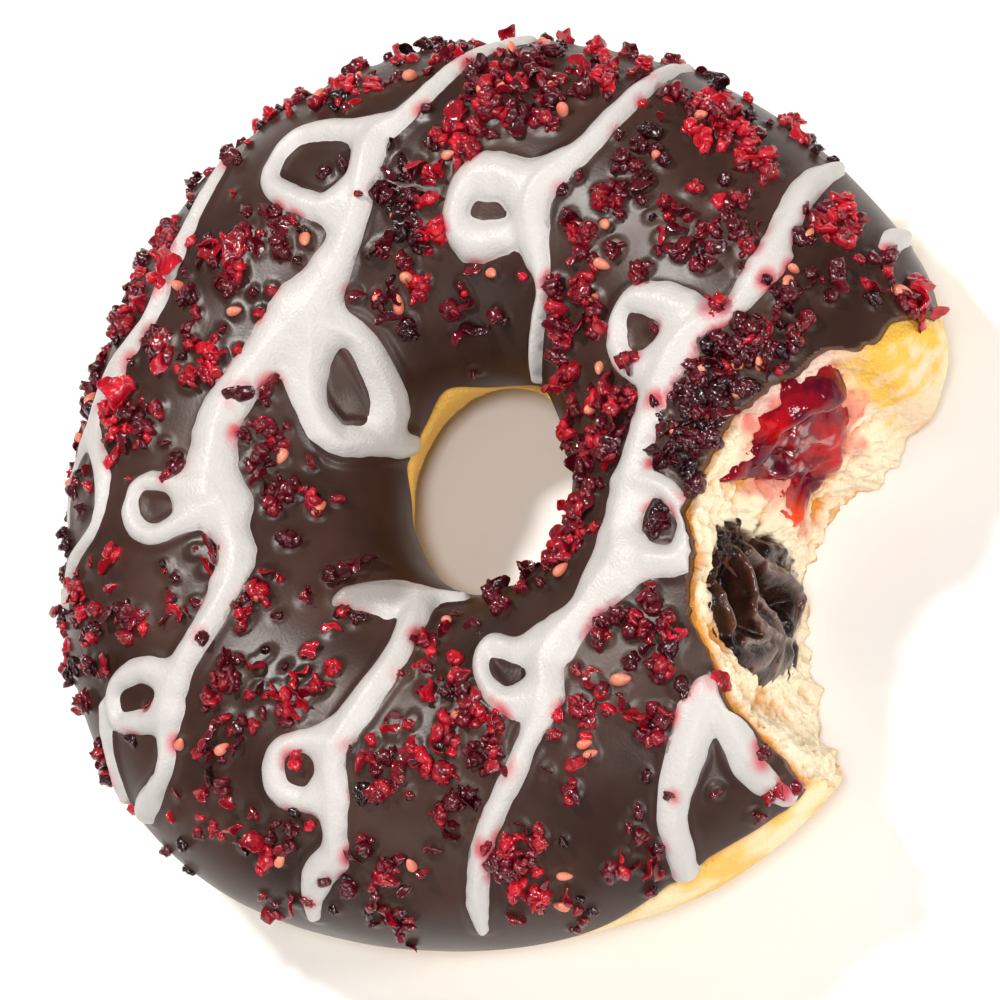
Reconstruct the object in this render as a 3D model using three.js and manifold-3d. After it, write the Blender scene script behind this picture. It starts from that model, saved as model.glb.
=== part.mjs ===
// A ring doughnut of fried yeast dough, dipped in dark chocolate, piped with white icing and strewn
// with dried raspberry. One bite is gone, and its wall shows the two fillings that run through the
// ring: raspberry jam one way round and chocolate cream the other.
// Millimetres, +Z up. The doughnut stands on Z = 0, and the bite faces between +X and -Y.

import * as THREE from 'three';
import { mergeVertices } from 'three/addons/utils/BufferGeometryUtils.js';
import Module from 'manifold-3d';

const wasm = await Module();
wasm.setup();

const { degToRad, radToDeg, smoothstep } = THREE.MathUtils;

// The ring's axis, set so that the middle of its uneven footprint is at the origin
const AXIS_X = -0.3;
const AXIS_Y = -0.6;

// The ring, out to the chocolate
const OUTER_RADIUS = 47;
const HOLE_RADIUS = 10;
const MIDDLE_HEIGHT = 13.8;
const TOP_HALF = 14.15;
const BOTTOM_HALF = 15.8;
const RING_STEPS = 50;
const SECTION_STEPS = 15;

// The chocolate and what lies in it
const GLAZE_THICKNESS = 0.9;
const GAP = 0.3;
const DOUGH_INSET = GLAZE_THICKNESS + GAP;
const GLAZE_STEPS = 10;
const GLAZE_BACK_INSET = 3;
const ICING_SINK = 0.45;
const ICING_HEIGHT = 0.6;
const ICING_HEIGHT_BY_WIDTH = 0.35;
const ICING_TOP_SHARE = 0.62;
const ICING_STEP = 3.4;
const QUARTER_ARC = 25.5;
const INWARD_SQUEEZE = 0.75;

// The bite, a scallop from the outside that stops short of the hole
const BITE_X = 37.6;
const BITE_Y = -37.1;
const BITE_RADIUS = 24.3;
const BITE_LEAN = 1.7;
const CRUMB_RELIEF = 0.55;

// The fillings
const JAM_WIDTH = 9.4;
const JAM_HEIGHT = 13;
const CREAM_WIDTH = 9.4;
const CREAM_HEIGHT = 12.5;
const JAM_RECESS = 0.8;
const FILLING_RADIUS = 29.5;
const FILLING_SIDES = 9;
const FILLING_STEP = 8;

const RASPBERRY_BITS = 74;

function seeded(seed) {
  let state = seed;
  return () => {
    state = (state + 0x6d2b79f5) | 0;
    let mixed = Math.imul(state ^ (state >>> 15), 1 | state);
    mixed = (mixed + Math.imul(mixed ^ (mixed >>> 7), 61 | mixed)) ^ mixed;
    return ((mixed ^ (mixed >>> 14)) >>> 0) / 4294967296;
  };
}

function hump(value, centre, width) {
  return Math.exp(-(((value - centre) / width) ** 2));
}

// The shortest way round from one direction to another, in degrees
function turn(from, to) {
  return ((to - from + 540) % 360 + 360) % 360 - 180;
}

// Joins a row of point loops, all of one length, into a closed skin. A closed row meets its own
// start, and an open one gets a fan over each end.
function loft(loops, closed) {
  const sides = loops[0].length;
  const points = loops.flat();
  const faces = [];
  const last = closed ? loops.length : loops.length - 1;
  for (let i = 0; i < last; i += 1) {
    const here = i * sides;
    const next = ((i + 1) % loops.length) * sides;
    for (let j = 0; j < sides; j += 1) {
      const k = (j + 1) % sides;
      faces.push(here + j, next + j, next + k);
      faces.push(here + j, next + k, here + k);
    }
  }
  if (!closed) {
    const end = (loops.length - 1) * sides;
    for (const [first, flip] of [[0, false], [end, true]]) {
      const middle = new THREE.Vector3();
      for (let j = 0; j < sides; j += 1) middle.addScaledVector(points[first + j], 1 / sides);
      points.push(middle);
      for (let j = 0; j < sides; j += 1) {
        const k = (j + 1) % sides;
        const corner = [first + j, first + k];
        if (flip) corner.reverse();
        faces.push(points.length - 1, corner[0], corner[1]);
      }
    }
  }
  const geometry = new THREE.BufferGeometry().setFromPoints(points);
  geometry.setIndex(faces);
  return geometry;
}

// A closed three.js geometry as a solid, turned the right way out
function solid(geometry) {
  const bare = geometry.clone();
  bare.deleteAttribute('normal');
  bare.deleteAttribute('uv');
  const merged = mergeVertices(bare, 1e-4);
  const vertProperties = new Float32Array(merged.attributes.position.array);
  const triVerts = new Uint32Array(merged.index.array);
  const at = (i, axis) => vertProperties[3 * triVerts[i] + axis];
  let volume = 0;
  for (let i = 0; i < triVerts.length; i += 3) {
    const [a, b, c] = [i, i + 1, i + 2].map((n) => new THREE.Vector3(at(n, 0), at(n, 1), at(n, 2)));
    volume += a.dot(b.cross(c));
  }
  if (volume < 0) {
    for (let i = 0; i < triVerts.length; i += 3) {
      [triVerts[i], triVerts[i + 1]] = [triVerts[i + 1], triVerts[i]];
    }
  }
  return new wasm.Manifold(new wasm.Mesh({ numProp: 3, vertProperties, triVerts }));
}

function joined(solids) {
  let row = solids;
  while (row.length > 1) {
    const pairs = [];
    for (let i = 0; i < row.length; i += 2) {
      pairs.push(i + 1 < row.length ? row[i].add(row[i + 1]) : row[i]);
    }
    row = pairs;
  }
  return row[0];
}

// A cut can leave a loose scrap or a sealed pocket beside the body itself
function withoutScraps(body) {
  return body.decompose().reduce((best, part) => (part.volume() > best.volume() ? part : best));
}

function piece(name, body, colour, roughness) {
  const mesh = withoutScraps(body).getMesh();
  const geometry = new THREE.BufferGeometry();
  geometry.setAttribute('position', new THREE.BufferAttribute(mesh.vertProperties, 3));
  geometry.setIndex(new THREE.BufferAttribute(mesh.triVerts, 1));
  geometry.computeVertexNormals();
  const material = new THREE.MeshStandardMaterial({ color: colour, roughness, metalness: 0 });
  const part = new THREE.Mesh(geometry, material);
  part.name = name;
  return part;
}

// The ring's radii at an azimuth. A risen ring is never quite round, so both edges waver.
function outerRadius(azimuth) {
  const wide = 0.8 * Math.cos(3 * (azimuth + degToRad(43)));
  const tight = 0.7 * Math.cos(4 * (azimuth - degToRad(6)));
  const besideBite = 1.1 * hump(turn(-10, radToDeg(azimuth)), 0, 12);
  return OUTER_RADIUS + wide + tight + besideBite;
}

function holeRadius(azimuth) {
  return HOLE_RADIUS + 0.9 * Math.cos(2 * (azimuth - degToRad(72)));
}

// A point on the ring: angle 0 is the outer equator, 90 degrees the crown and 180 the hole's wall.
// Inset goes into the dough, and the bottom is flat where the ring was set down.
function ringPoint(azimuth, angle, inset) {
  const outer = outerRadius(azimuth);
  const hole = holeRadius(azimuth);
  const halfHeight = (Math.sin(angle) > 0 ? TOP_HALF : BOTTOM_HALF) - inset;
  const radius = (outer + hole) / 2 + ((outer - hole) / 2 - inset) * Math.cos(angle);
  const height = MIDDLE_HEIGHT + halfHeight * Math.sin(angle);
  return new THREE.Vector3(radius * Math.cos(azimuth), radius * Math.sin(azimuth), height);
}

function ringLoops(sectionAt) {
  return Array.from({ length: RING_STEPS }, (_, i) => sectionAt((2 * Math.PI * i) / RING_STEPS));
}

// The whole ring at an inset, standing flat on the given height
function ringBody(inset, floor) {
  const flatAngle = Math.asin((floor - MIDDLE_HEIGHT) / (BOTTOM_HALF - inset));
  const sweep = Math.PI - 2 * flatAngle;
  return solid(loft(ringLoops((azimuth) => {
    const section = [];
    for (let j = 0; j <= SECTION_STEPS; j += 1) {
      section.push(ringPoint(azimuth, flatAngle + (sweep * j) / SECTION_STEPS, inset));
    }
    return section;
  }), true));
}

// How far the chocolate comes down, as heights from the ring's middle plane. It stops high where
// the pale skirt shows, beside the bite and on one side of the hole.
function outerGlazeEdge(azimuth) {
  const degrees = radToDeg(azimuth);
  const skirt = 7.4 * hump(turn(-86, degrees), 0, 30) + 2.2 * hump(turn(-68, degrees), 0, 9);
  const biteEnd = 6 * hump(turn(-14, degrees), 0, 12);
  return -4.6 + skirt + biteEnd + 0.6 * Math.sin(7 * azimuth) + 0.5 * Math.sin(12 * azimuth + 1);
}

function innerGlazeEdge(azimuth) {
  const degrees = radToDeg(azimuth);
  const farSide = 3.2 * hump(turn(112, degrees), 0, 45) + 2.5 * hump(turn(80, degrees), 0, 14);
  return -3.2 + 7.5 * hump(turn(22, degrees), 0, 24) + farSide + 0.5 * Math.sin(9 * azimuth);
}

function edgeAngle(height) {
  return Math.asin(height / (height > 0 ? TOP_HALF : BOTTOM_HALF));
}

// The chocolate before its back is cut to the dough: a thick cap over the ring's top
function glazeCap() {
  return solid(loft(ringLoops((azimuth) => {
    const start = edgeAngle(outerGlazeEdge(azimuth));
    const end = Math.PI - edgeAngle(innerGlazeEdge(azimuth));
    const section = [];
    for (let j = 0; j <= GLAZE_STEPS; j += 1) {
      section.push(ringPoint(azimuth, start + ((end - start) * j) / GLAZE_STEPS, 0));
    }
    for (let j = GLAZE_STEPS; j >= 0; j -= GLAZE_STEPS / 2) {
      section.push(ringPoint(azimuth, start + ((end - start) * j) / GLAZE_STEPS, GLAZE_BACK_INSET));
    }
    return section;
  }), true));
}

// The bite's radius from its own centre. Facing is in degrees from the way to the ring's axis.
// The teeth met at a corner, the wall flares at one end, and it leans out towards the bottom.
function biteRadius(facing, height, lean) {
  const corner = 1.5 * hump(facing, -5, 15);
  const flare = 3.6 * smoothstep(-facing, 50, 70);
  const teeth = 0.3 * Math.cos(degToRad(facing * 17));
  const tuft = 2.2 * hump(facing, -6, 7) * hump(height, MIDDLE_HEIGHT - 2, 6);
  return BITE_RADIUS + corner + flare + teeth - lean * (1 - height / 28) - (lean > 0 ? tuft : 0);
}

// The space that the bite takes, with crags on its wall where it tears the crumb
function bite(extra, lean, relief) {
  const random = seeded(7);
  const towardsAxis = Math.atan2(-BITE_Y, -BITE_X);
  const levels = [];
  for (let height = -3; height < 36; height += 2.6) {
    const outline = [];
    for (let facing = -84; facing <= 84; facing += 5.6) {
      const radius = biteRadius(facing, height, lean) + extra + relief * (2 * random() - 1);
      outline.push([facing, radius]);
    }
    outline.push([115, 45], [150, 50], [180, 50], [210, 50], [245, 45]);
    levels.push(outline.map(([facing, radius]) => {
      const direction = towardsAxis + degToRad(facing);
      const x = BITE_X + radius * Math.cos(direction);
      return new THREE.Vector3(x, BITE_Y + radius * Math.sin(direction), height);
    }));
  }
  return solid(loft(levels, false));
}

// A filling's rope: an oval section along a route through the ring, fuller at its mouth
function fillingRope(route, size, grow, seed) {
  const random = seeded(seed);
  const curve = new THREE.CatmullRomCurve3(route);
  const steps = Math.round(curve.getLength() / FILLING_STEP);
  const loops = [];
  for (let i = 0; i <= steps; i += 1) {
    const place = curve.getPointAt(i / steps);
    const ahead = curve.getTangentAt(i / steps);
    const side = new THREE.Vector3(ahead.y, -ahead.x, 0).normalize();
    const mouth = hump(i / steps, 0, 0.14);
    const endTaper = i === steps ? 0.55 : 1;
    const halfWidth = (size.width / 2 + size.mouthWidth * mouth) * endTaper + grow;
    const halfHeight = (size.height / 2 + size.mouthHeight * mouth) * endTaper + grow;
    const loop = [];
    for (let j = 0; j < FILLING_SIDES; j += 1) {
      const angle = (2 * Math.PI * j) / FILLING_SIDES;
      const wobble = 1 + 0.07 * (2 * random() - 1);
      const point = place.clone().addScaledVector(side, halfWidth * wobble * Math.cos(angle));
      point.z += halfHeight * wobble * Math.sin(angle);
      loop.push(point);
    }
    loops.push(loop);
  }
  return solid(loft(loops, false));
}

// Route points round the ring at the fillings' radius, from one azimuth to another in degrees
function arcRoute(from, to) {
  const points = [];
  const count = Math.round(Math.abs(to - from) / 20);
  for (let i = 0; i <= count; i += 1) {
    const azimuth = degToRad(from + ((to - from) * i) / count);
    const x = FILLING_RADIUS * Math.cos(azimuth);
    points.push(new THREE.Vector3(x, FILLING_RADIUS * Math.sin(azimuth), MIDDLE_HEIGHT));
  }
  return points;
}

function lump(x, y, z, radius, flatten) {
  const ball = new THREE.IcosahedronGeometry(radius, 1);
  ball.scale(1, 1, flatten);
  ball.translate(x, y, z);
  return solid(ball);
}

// Raspberry jam, with the drip that has run down the crumb under it
function jamBody(grow) {
  const mouth = new THREE.Vector3(28.8, -17, MIDDLE_HEIGHT + 0.6);
  const inside = new THREE.Vector3(30.2, -9, MIDDLE_HEIGHT + 0.4);
  const size = { width: JAM_WIDTH, height: JAM_HEIGHT, mouthWidth: 1.9, mouthHeight: 3.4 };
  return fillingRope([mouth, inside, ...arcRoute(0, 150)], size, grow, 3);
}

function jamDrip(grow) {
  return lump(30.5, -13.4, MIDDLE_HEIGHT - 8.6, 2.1 + grow, 1.5);
}

// Chocolate cream, squeezed out of its tunnel in folds
const CREAM_FOLDS = [
  { along: -5, up: 2.5, out: 0.6, radius: 3.6 },
  { along: -1.5, up: 4.6, out: 1.2, radius: 3.5 },
  { along: 3, up: 3.2, out: 1.4, radius: 3.7 },
  { along: -3.5, up: -2.6, out: 1.6, radius: 3.9 },
  { along: 1.5, up: -3.6, out: 1.8, radius: 3.7 },
  { along: 5, up: -1.2, out: 0.6, radius: 3.2 },
];

function creamBody(grow) {
  const middle = new THREE.Vector3(17, -24.8, MIDDLE_HEIGHT);
  const along = new THREE.Vector3(0.52, 0.85, 0);
  const out = new THREE.Vector3(0.85, -0.52, 0);
  const start = middle.clone().addScaledVector(out, 0.5);
  const inside = new THREE.Vector3(9, -27.6, MIDDLE_HEIGHT);
  const size = { width: CREAM_WIDTH, height: CREAM_HEIGHT, mouthWidth: 1, mouthHeight: 0.8 };
  const rope = fillingRope([start, inside, ...arcRoute(-92, -196)], size, grow, 5);
  const folds = CREAM_FOLDS.map((fold) => {
    const place = middle.clone();
    place.addScaledVector(along, fold.along);
    place.addScaledVector(out, fold.out);
    return lump(place.x, place.y, place.z + fold.up, fold.radius + grow, 0.95);
  });
  return joined([rope, ...folds]);
}

// Routes on the chocolate are drawn on a flattened plan of the ring's top: outside the crown the
// radius grows by the way down the side, and inside it shrinks by the same, squeezed to fit.
function onGlaze(x, y, lift) {
  const azimuth = Math.atan2(y, x);
  const crown = (outerRadius(azimuth) + holeRadius(azimuth)) / 2;
  const beyond = Math.hypot(x, y) - crown;
  const way = beyond > 0 ? beyond : beyond / INWARD_SQUEEZE;
  return ringPoint(azimuth, (Math.PI / 2) * (1 - way / QUARTER_ARC), -lift);
}

// A rope of icing along a route of places and half widths. Its section is a low trapezium that
// starts inside the chocolate, and a wide rope stands a little taller.
function rope(route) {
  const curve = new THREE.CatmullRomCurve3(route.map((station) => new THREE.Vector3(...station)));
  const steps = Math.max(3, Math.round(curve.getLength() / ICING_STEP));
  const loops = [];
  for (let i = 0; i <= steps; i += 1) {
    const flat = curve.getPointAt(i / steps);
    const ahead = curve.getTangentAt(i / steps).multiplyScalar(0.2);
    const place = onGlaze(flat.x, flat.y, -ICING_SINK);
    const up = onGlaze(flat.x, flat.y, 1).sub(place).normalize();
    const forward = onGlaze(flat.x + ahead.x, flat.y + ahead.y, -ICING_SINK).sub(place);
    const side = forward.cross(up).normalize();
    const blunt = i === 0 || i === steps ? 0.6 : 1;
    const wide = flat.z * blunt;
    const topWide = wide * ICING_TOP_SHARE;
    const rise = ICING_SINK + (ICING_HEIGHT + ICING_HEIGHT_BY_WIDTH * flat.z) * blunt;
    const section = [[-wide, 0], [-topWide, rise], [topWide, rise], [wide, 0]];
    loops.push(section.map(([aside, above]) => (
      place.clone().addScaledVector(side, aside).addScaledVector(up, above)
    )));
  }
  return solid(loft(loops, false));
}

// The white icing, piped to and fro across the ring with a small curl at each turn of the hand. A
// station is a place on the flattened plan and the rope's half width there. Where a curl crosses
// its own rope, the icing runs together into a web.
const ICING_ROPES = [
  [
    [27.5, 39, 0.9], [20.5, 36.5, 1.1], [13, 33, 1.3], [9, 32.5, 2],
    [5, 28.5, 1.6], [0.5, 26, 1.6], [-6, 23.5, 2],
  ],
  [
    [8, 34, 1.4], [5, 36.5, 1.3], [2, 38, 1.2], [-1, 37, 1.1],
    [-2.5, 34.5, 1.2], [0.5, 30, 1.5], [3.5, 29, 1.5],
  ],
  [
    [-6.5, 42.5, 0.9], [-10.5, 38.5, 1.2], [-15.5, 34, 1.5],
    [-20, 30.5, 1.1], [-26, 28.5, 1.8], [-31, 25, 1.4],
  ],
  [[-31, 25, 1.4], [-31.2, 19, 1.3], [-34, 14.6, 0.9], [-39, 14, 0.9], [-43, 12, 0.7]],
  [[-7.5, 23, 2.2], [-11.5, 21.5, 1.6], [-18, 17.5, 1.7], [-22, 12.5, 2], [-23.5, 10, 2.5]],
  [[-23, 11, 1.2], [-27, 14.5, 1], [-29, 14, 1], [-30, 11.5, 1.2], [-28.5, 9, 1.2], [-23.5, 8.5, 1.4]],
  [
    [-23, 9, 1.6], [-24, 5.5, 1.3], [-25, 2, 1.5], [-28, -2, 1.6],
    [-34, -6, 1.5], [-38, -11, 1.2], [-45, -12, 1.6],
  ],
  [[-33, -5, 1.4], [-35, -2, 1.4], [-38, -1, 1.2], [-40, -2, 1.1], [-40, -4.5, 1.1], [-35, -7.5, 1.5]],
  [[-41.5, -1.5, 0.8], [-44, -4.5, 0.8], [-46, -7, 0.8], [-48, -9, 0.9]],
  [[-6, 23, 2], [-11, 17, 1.6], [-12, 12, 2], [-9.5, 11, 1.9], [-5, 8.6, 1.3]],
  [[-5.5, 22.5, 1.6], [-3, 20.5, 1.9], [-3.5, 17, 2.1], [-4.5, 14.5, 2.1], [-6.5, 11.5, 2]],
  [
    [42, 28, 0.8], [31.5, 21, 1.4], [26, 18.5, 1.5], [20.5, 17.5, 2.2],
    [19, 11.5, 1], [17, 9, 1.1], [13, 6, 0.8],
  ],
  [
    [20, 19.5, 1.8], [18, 22, 1.9], [16, 23, 1.7], [14, 22.5, 1.6],
    [13, 21, 1.6], [14, 19, 1.6], [17, 17, 1.1],
  ],
  [
    [49, 7.5, 1], [43, 4.5, 1.5], [37.5, 0, 1.4], [35.5, -2, 1.8],
    [31, -4.5, 1.3], [27, -4.5, 2.2], [22.5, -9, 1.4],
  ],
  [
    [22.5, -9, 1.4], [18.5, -13.5, 1.5], [14, -19, 2.3],
    [12, -21.5, 2.5], [6, -24, 1.5], [0.5, -25.5, 1.9],
  ],
  [
    [0.5, -25.5, 1.9], [-1, -27.5, 1.8], [-5, -30.5, 1.3],
    [-14, -36, 1.3], [-18.5, -40.5, 1.3], [-21, -43.5, 0.8],
  ],
  [[28, -2, 1.6], [26.5, 1, 1.4], [25, 2.5, 1.2], [23.5, 1, 1], [23, -2.5, 1.1], [24, -5, 1.5]],
  [[17.5, -16, 1.8], [19, -18.5, 1.2], [17.5, -21.5, 1.2], [15.5, -23, 1.8], [14, -22, 1.9]],
  [
    [1.5, -25, 1.6], [-2, -24, 1.3], [-5, -22, 1.1],
    [-6.5, -23.5, 1.1], [-5.5, -26.5, 1.2], [-2, -28, 1.4],
  ],
  [
    [-19, -7.5, 1.2], [-14, -10.5, 2.3], [-12, -12.5, 1.8],
    [-15, -17.5, 1.8], [-22, -20.5, 1.7], [-24, -24, 1.8],
  ],
  [[-24, -24, 1.8], [-26, -27, 1.4], [-27.5, -28.5, 1.8], [-31, -29, 1.7], [-36, -32, 0.9]],
  [[-12, -12, 1.6], [-9.5, -12, 1], [-7, -13, 0.8]],
  [
    [-22, -20, 1.6], [-24.5, -18, 1.3], [-27, -17.5, 1.4],
    [-28.5, -20, 1.4], [-27, -22.5, 1.2], [-24, -23.5, 1.5],
  ],
  [
    [0.5, -49, 1.6], [3, -42.5, 1.6], [7.5, -38, 2], [10, -36, 2.2],
    [12, -35.5, 1.9], [11.5, -43, 1.8], [13, -48, 1.4],
  ],
  [[46.8, -4.2, 0.8], [49.2, -3.2, 1.4], [52.4, -2.2, 1.2]],
];

// The larger bits of dried raspberry, strewn evenly and half sunk in the chocolate. They turn round
// the ring by the golden angle, so that no two lie alike, and keep off the bite's edge.
function raspberryBits() {
  const random = seeded(11);
  const goldenTurn = Math.PI * (3 - Math.sqrt(5));
  const bits = [];
  for (let i = 0; i < RASPBERRY_BITS; i += 1) {
    const reach = 14 + 33 * Math.sqrt((i + 0.5) / RASPBERRY_BITS) + 1.5 * random();
    const azimuth = i * goldenTurn + 0.2 * random();
    const x = reach * Math.cos(azimuth);
    const y = reach * Math.sin(azimuth);
    const size = 0.95 + 0.75 * random();
    const place = onGlaze(x, y, 0.15 * size);
    const toBite = Math.hypot(place.x - BITE_X, place.y - BITE_Y) - BITE_RADIUS;
    const spin = [6.3 * random(), 6.3 * random(), 6.3 * random()];
    const shape = [1 + 0.4 * random(), 0.8 + 0.2 * random(), 0.65 + 0.2 * random()];
    if (toBite > 3.5) {
      const bit = new THREE.IcosahedronGeometry(size, 0);
      bit.scale(...shape);
      bit.rotateX(spin[0]).rotateY(spin[1]).rotateZ(spin[2]);
      bit.translate(place.x, place.y, place.z);
      bits.push(solid(bit));
    }
  }
  return bits;
}

const fillings = joined([jamBody(GAP), jamDrip(GAP)]).add(creamBody(GAP));
const dough = ringBody(DOUGH_INSET, 0).subtract(bite(0, BITE_LEAN, CRUMB_RELIEF)).subtract(fillings);
const jam = jamBody(0).subtract(bite(JAM_RECESS, BITE_LEAN, CRUMB_RELIEF)).add(jamDrip(0));
const topping = joined([glazeCap(), ...ICING_ROPES.map(rope), ...raspberryBits()]);
const glaze = topping.subtract(ringBody(GLAZE_THICKNESS, -GAP)).subtract(bite(0.5, 0, 0.25));

const doughnut = new THREE.Group();
doughnut.position.set(AXIS_X, AXIS_Y, 0);
doughnut.add(piece('dough', dough, 0xe8b765, 0.75));
doughnut.add(piece('raspberry_jam', jam, 0xa50f1e, 0.2));
doughnut.add(piece('chocolate_cream', creamBody(0), 0x2b1815, 0.35));
doughnut.add(piece('glaze', glaze, 0x3a2421, 0.35));

export default doughnut;
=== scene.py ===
import math

import bmesh
import bpy
import numpy as np
from mathutils import Matrix, Vector
from mathutils.kdtree import KDTree


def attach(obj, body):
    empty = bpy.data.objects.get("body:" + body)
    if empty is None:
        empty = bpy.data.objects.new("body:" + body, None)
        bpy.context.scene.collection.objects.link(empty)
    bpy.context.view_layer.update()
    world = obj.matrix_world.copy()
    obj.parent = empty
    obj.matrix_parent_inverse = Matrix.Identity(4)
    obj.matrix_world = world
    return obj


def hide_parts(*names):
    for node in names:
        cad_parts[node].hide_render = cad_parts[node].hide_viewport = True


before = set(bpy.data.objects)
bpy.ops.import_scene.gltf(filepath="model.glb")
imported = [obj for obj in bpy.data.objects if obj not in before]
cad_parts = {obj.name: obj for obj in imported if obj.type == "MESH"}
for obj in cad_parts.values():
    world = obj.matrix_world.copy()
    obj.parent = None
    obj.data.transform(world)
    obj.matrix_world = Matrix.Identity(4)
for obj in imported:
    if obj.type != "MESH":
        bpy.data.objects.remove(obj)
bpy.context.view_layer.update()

# The studio: matt white paper under the doughnut, and a camera high over the side that the bite faces,
# rolled so that the bite opens to the right. A window on the upper left gives the highlights, and low
# lamps on the right light the inside of the bite.
MM = 0.001
AXIS = np.array([-0.3, -0.6, 0.0])
MIDDLE_HEIGHT = 13.8
VIEW_AZIMUTH = math.radians(-65.5)
VIEW_ELEVATION = math.radians(61.94)
VIEW_ROLL = math.radians(-54.94)
VIEW_DISTANCE = 400
LENS = 145.6
SENSOR_WIDTH = 36
FRAME_PIXELS = 1000
FOCAL_PIXELS = LENS / SENSOR_WIDTH * FRAME_PIXELS
RING_AT_PIXEL = (492.3, 490.5)
PAPER_SIZE = 3000


def linear(shade):
    """An sRGB hex colour as linear red, green, blue and alpha."""
    parts = [int(shade[i:i + 2], 16) / 255 for i in (1, 3, 5)]
    return [p / 12.92 if p < 0.04045 else ((p + 0.055) / 1.055) ** 2.4 for p in parts] + [1.0]


def add_node(tree, kind, settings, inputs, output=0):
    """Adds a shader node with its settings, links any input that is a socket, and gives an output."""
    node = tree.nodes.new("ShaderNode" + kind)
    for name, value in settings.items():
        setattr(node, name, value)
    for name, value in inputs.items():
        if isinstance(value, bpy.types.NodeSocket):
            tree.links.new(value, node.inputs[name])
        else:
            node.inputs[name].default_value = value
    return node.outputs[output] if node.outputs else None


def new_material(name):
    """A new material's empty node tree, and the material."""
    material = bpy.data.materials.new(name)
    material.use_nodes = True
    material.node_tree.nodes.clear()
    return material.node_tree, material


def dress(piece, finish, surface):
    """Ends a material with its surface, and makes it the piece's only one."""
    add_node(finish.node_tree, "OutputMaterial", {}, {"Surface": surface})
    piece.data.materials.clear()
    piece.data.materials.append(finish)


def make_mesh(name, points, triangles):
    """A smooth mesh object from points in mm about the ring's axis."""
    mesh = bpy.data.meshes.new(name)
    mesh.vertices.add(len(points))
    mesh.vertices.foreach_set("co", ((points + AXIS) * MM).astype(np.float32).ravel())
    mesh.loops.add(triangles.size)
    mesh.loops.foreach_set("vertex_index", triangles.astype(np.int32).ravel())
    mesh.polygons.add(len(triangles))
    mesh.polygons.foreach_set("loop_start", np.arange(0, triangles.size, 3, dtype=np.int32))
    mesh.update(calc_edges=True)
    mesh.shade_smooth()
    made = bpy.data.objects.new(name, mesh)
    bpy.context.scene.collection.objects.link(made)
    return made


# A Mix node's colour sockets share their names with those for numbers, so they are told by their place
SHARE, FIRST, SECOND, BLENDED = 0, 6, 7, 2

half = PAPER_SIZE / 2
paper = make_mesh(
    "paper",
    np.array([[-half, -half, 0], [half, -half, 0], [half, half, 0], [-half, half, 0]], float),
    np.array([[0, 1, 2], [0, 2, 3]]),
)
tree, paper_finish = new_material("matt_uncoated_paper")
# Pulp pressed without a coating: no gloss, and a faint mottle 20 mm across
where = add_node(tree, "TexCoord", {}, {}, "Object")
mottle = add_node(tree, "TexNoise", {}, {"Vector": where, "Scale": 1 / (20 * MM)})
shade = add_node(tree, "Mix", {"data_type": "RGBA"}, {
    SHARE: mottle, FIRST: linear("#f3f3f2"), SECOND: linear("#fafafa")}, BLENDED)
surface = add_node(tree, "BsdfPrincipled", {}, {"Base Color": shade, "Roughness": 0.95})
dress(paper, paper_finish, surface)


def direction(azimuth, elevation):
    """The way towards an azimuth and an elevation."""
    flat = math.cos(elevation)
    return Vector((flat * math.cos(azimuth), flat * math.sin(azimuth), math.sin(elevation)))


back = direction(VIEW_AZIMUTH, VIEW_ELEVATION)
level = Vector((0, 0, 1)).cross(back).normalized()
above = back.cross(level)
right = level * math.cos(VIEW_ROLL) + above * math.sin(VIEW_ROLL)
up = back.cross(right)
ring_middle = Vector(AXIS * MM) + Vector((0, 0, MIDDLE_HEIGHT * MM))
aside = (FRAME_PIXELS / 2 - RING_AT_PIXEL[0]) / FOCAL_PIXELS * VIEW_DISTANCE * MM
raised = (RING_AT_PIXEL[1] - FRAME_PIXELS / 2) / FOCAL_PIXELS * VIEW_DISTANCE * MM
camera = bpy.data.objects.new("camera", bpy.data.cameras.new("camera"))
camera.data.sensor_width = SENSOR_WIDTH
camera.data.lens = LENS
camera.data.clip_start = 0.05
camera.data.clip_end = 10
place = ring_middle + back * VIEW_DISTANCE * MM + right * aside + up * raised
turn = Matrix((right, up, back)).transposed().to_4x4()
camera.matrix_world = Matrix.Translation(place) @ turn
bpy.context.scene.collection.objects.link(camera)
bpy.context.scene.camera = camera
bpy.context.scene.view_settings.view_transform = "Standard"


def add_lamp(name, azimuth, elevation, distance, size, watts, colour):
    """A square soft box that looks at the ring."""
    lamp = bpy.data.objects.new(name, bpy.data.lights.new(name, "AREA"))
    away = direction(math.radians(azimuth), math.radians(elevation))
    lamp.data.size = size * MM
    lamp.data.energy = watts
    lamp.data.color = linear(colour)[:3]
    lamp.location = ring_middle + away * distance * MM
    lamp.rotation_mode = "QUATERNION"
    lamp.rotation_quaternion = away.to_track_quat("Z", "Y")
    bpy.context.scene.collection.objects.link(lamp)


# Azimuth and elevation in degrees, distance and size in mm, watts and colour
add_lamp("window", 100, 62, 600, 60, 2.7, "#fffaf4")
add_lamp("low_lamp", -36, 32, 520, 60, 0.8, "#fff6ea")
add_lamp("front_lamp", -80, 34, 520, 60, 0.6, "#ffffff")
add_lamp("reflector", 205, 35, 700, 420, 0.8, "#fff8f2")
add_lamp("overhead", -65, 68, 700, 110, 1.9, "#ffffff")
world = bpy.data.worlds.new("white_room")
world.use_nodes = True
world.node_tree.nodes["Background"].inputs["Color"].default_value = linear("#faf7f4")
world.node_tree.nodes["Background"].inputs["Strength"].default_value = 0.2
bpy.context.scene.world = world

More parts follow.
